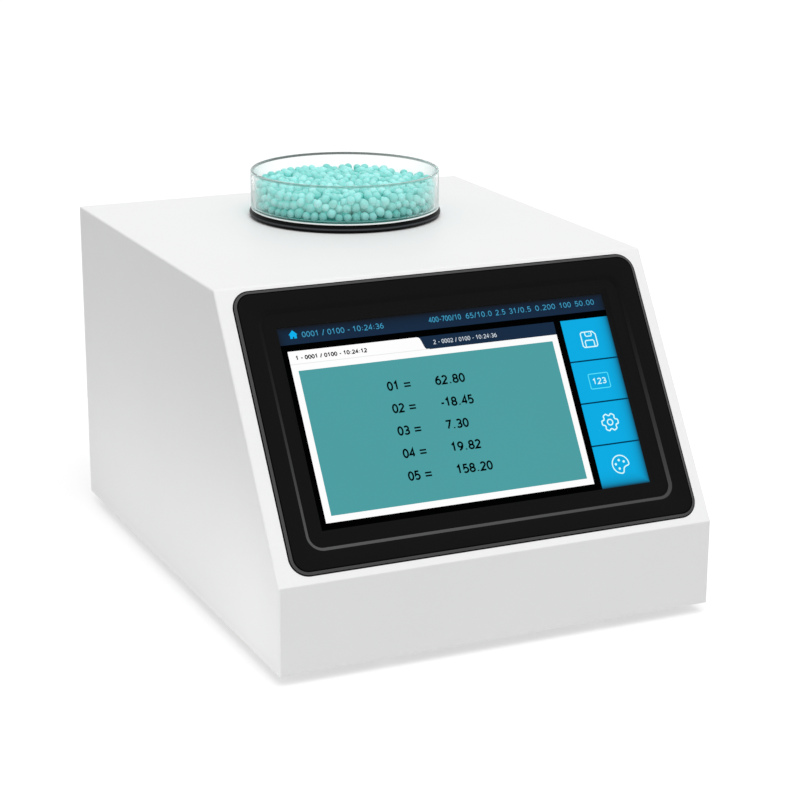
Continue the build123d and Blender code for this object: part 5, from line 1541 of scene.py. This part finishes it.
class COLORIMETER_OT_rear(bpy.types.Operator):
    """Finish the sockets and the power switch, and print the marks on its rocker"""

    bl_idname = "colorimeter.rear"
    bl_label = "Sockets and Switch"

    def execute(self, context):
        dress("dc_jack", "usb_device_socket", "usb_host_socket", "power_switch", "power_rocker")
        self.add_rocker_marks()
        return {"FINISHED"}

    def add_rocker_marks(self):
        """A line on the upper half, pressed for on, and a ring on the lower half, pressed for off."""
        low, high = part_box("power_rocker")
        middle_x, middle_z = (low.x + high.x) / 2, (low.z + high.z) / 2
        rocker = NODES["power_rocker"].data
        surface = BVHTree.FromPolygons(
            [vertex.co for vertex in rocker.vertices], [tuple(face.vertices) for face in rocker.polygons]
        )
        turns, ring_down = 28, 3.8 * MM
        pieces, half_width = 4, 0.2 * MM
        line_start, first_end, length = 2.4, 3.1, 0.7
        ring, hole = circle(1.35 * MM, turns), circle(1.0 * MM, turns)
        marks = []
        for i in range(turns):
            j = (i + 1) % turns
            marks.append([(a, b - ring_down) for a, b in (ring[i], ring[j], hole[j], hole[i])])
        for k in range(pieces):
            bottom, top = (line_start + length * k) * MM, (first_end + length * k) * MM
            marks.append([(-half_width, bottom), (half_width, bottom), (half_width, top), (-half_width, top)])
        points, faces = [], []
        for mark in marks:
            start = len(points)
            for a, b in mark:
                origin = Vector((middle_x + a, high.y + 0.02, middle_z + b))
                hit = surface.ray_cast(origin, Vector((0, -1, 0)))[0]
                points.append(hit + Vector((0, 0.03 * MM, 0)))
            faces.append((start + 3, start + 2, start + 1, start))
        paint = finish("mark_paint", (0.78, 0.78, 0.77), 0.6, grain=3000.0, relief=0.01 * MM)
        add_piece("rocker_marks", mesh_from("rocker_marks", points, faces), [paint], "rocker", sharp=0)


class COLORIMETER_OT_optics(bpy.types.Operator):
    """Finish the sphere, lamp, arms, detector and spectrometer"""

    bl_idname = "colorimeter.optics"
    bl_label = "Optics"

    def execute(self, context):
        dress("sphere_upper", "sphere_lower", "sphere_baffle", "sphere_screws", "sphere_posts")
        dress("lamp_housing", "lamp_flange_screws", "lamp_board", "lamp_board_screws")
        dress("filter_arm", "filter_motor", "trap_arm", "trap_motor", "light_trap")
        dress("detector_tube", "spectrometer_housing", "spectrometer_lid", "spectrometer_screws")
        dress("fold_mirror", "grating", "sensor_board")
        lens = clear("lens_glass", (0.98, 0.99, 0.99), 1.5)
        dress("condenser_lens", "detector_lens", "flash_lamp", material=lens)
        dress("uv_filter", material=clear("filter_glass", (0.86, 0.93, 0.62), 1.5))
        return {"FINISHED"}


class COLORIMETER_OT_electronics(bpy.types.Operator):
    """Finish the circuit boards, their standoffs and screws, and the screen's bracket"""

    bl_idname = "colorimeter.electronics"
    bl_label = "Electronics"

    def execute(self, context):
        dress("display_bracket", "bezel_nuts", "display_standoffs", "display_board")
        dress("display_screws", "display_ribbon")
        dress("main_board", "main_board_standoffs", "main_board_screws")
        dress("connector_board", "connector_standoffs", "connector_screws")
        return {"FINISHED"}


OPERATORS = (
    COLORIMETER_OT_studio,
    COLORIMETER_OT_case,
    COLORIMETER_OT_screws,
    COLORIMETER_OT_bezel,
    COLORIMETER_OT_screen,
    COLORIMETER_OT_port,
    COLORIMETER_OT_dish,
    COLORIMETER_OT_granules,
    COLORIMETER_OT_rear,
    COLORIMETER_OT_optics,
    COLORIMETER_OT_electronics,
)


class COLORIMETER_PT_panel(bpy.types.Panel):
    """The sizes and colours, and a button for each piece"""

    bl_idname = "COLORIMETER_PT_panel"
    bl_label = "Colorimeter"
    bl_space_type = "VIEW_3D"
    bl_region_type = "UI"
    bl_category = "Colorimeter"

    def draw(self, context):
        layout = self.layout
        for name, group in SETTINGS.items():
            column = layout.box().column()
            for setting in group.__annotations__:
                column.prop(getattr(context.scene, name), setting)
        for operator in OPERATORS:
            layout.operator(operator.bl_idname)


def register():
    for group in SETTINGS.values():
        bpy.utils.register_class(group)
    for operator in OPERATORS:
        bpy.utils.register_class(operator)
    bpy.utils.register_class(COLORIMETER_PT_panel)
    for name, group in SETTINGS.items():
        setattr(bpy.types.Scene, name, PointerProperty(type=group))


def unregister():
    for name in SETTINGS:
        delattr(bpy.types.Scene, name)
    bpy.utils.unregister_class(COLORIMETER_PT_panel)
    for operator in reversed(OPERATORS):
        bpy.utils.unregister_class(operator)
    for group in reversed(SETTINGS.values()):
        bpy.utils.unregister_class(group)


def main():
    register()
    for operator in OPERATORS:
        group, name = operator.bl_idname.split(".")
        getattr(getattr(bpy.ops, group), name)()


if __name__ == "__main__":
    main()
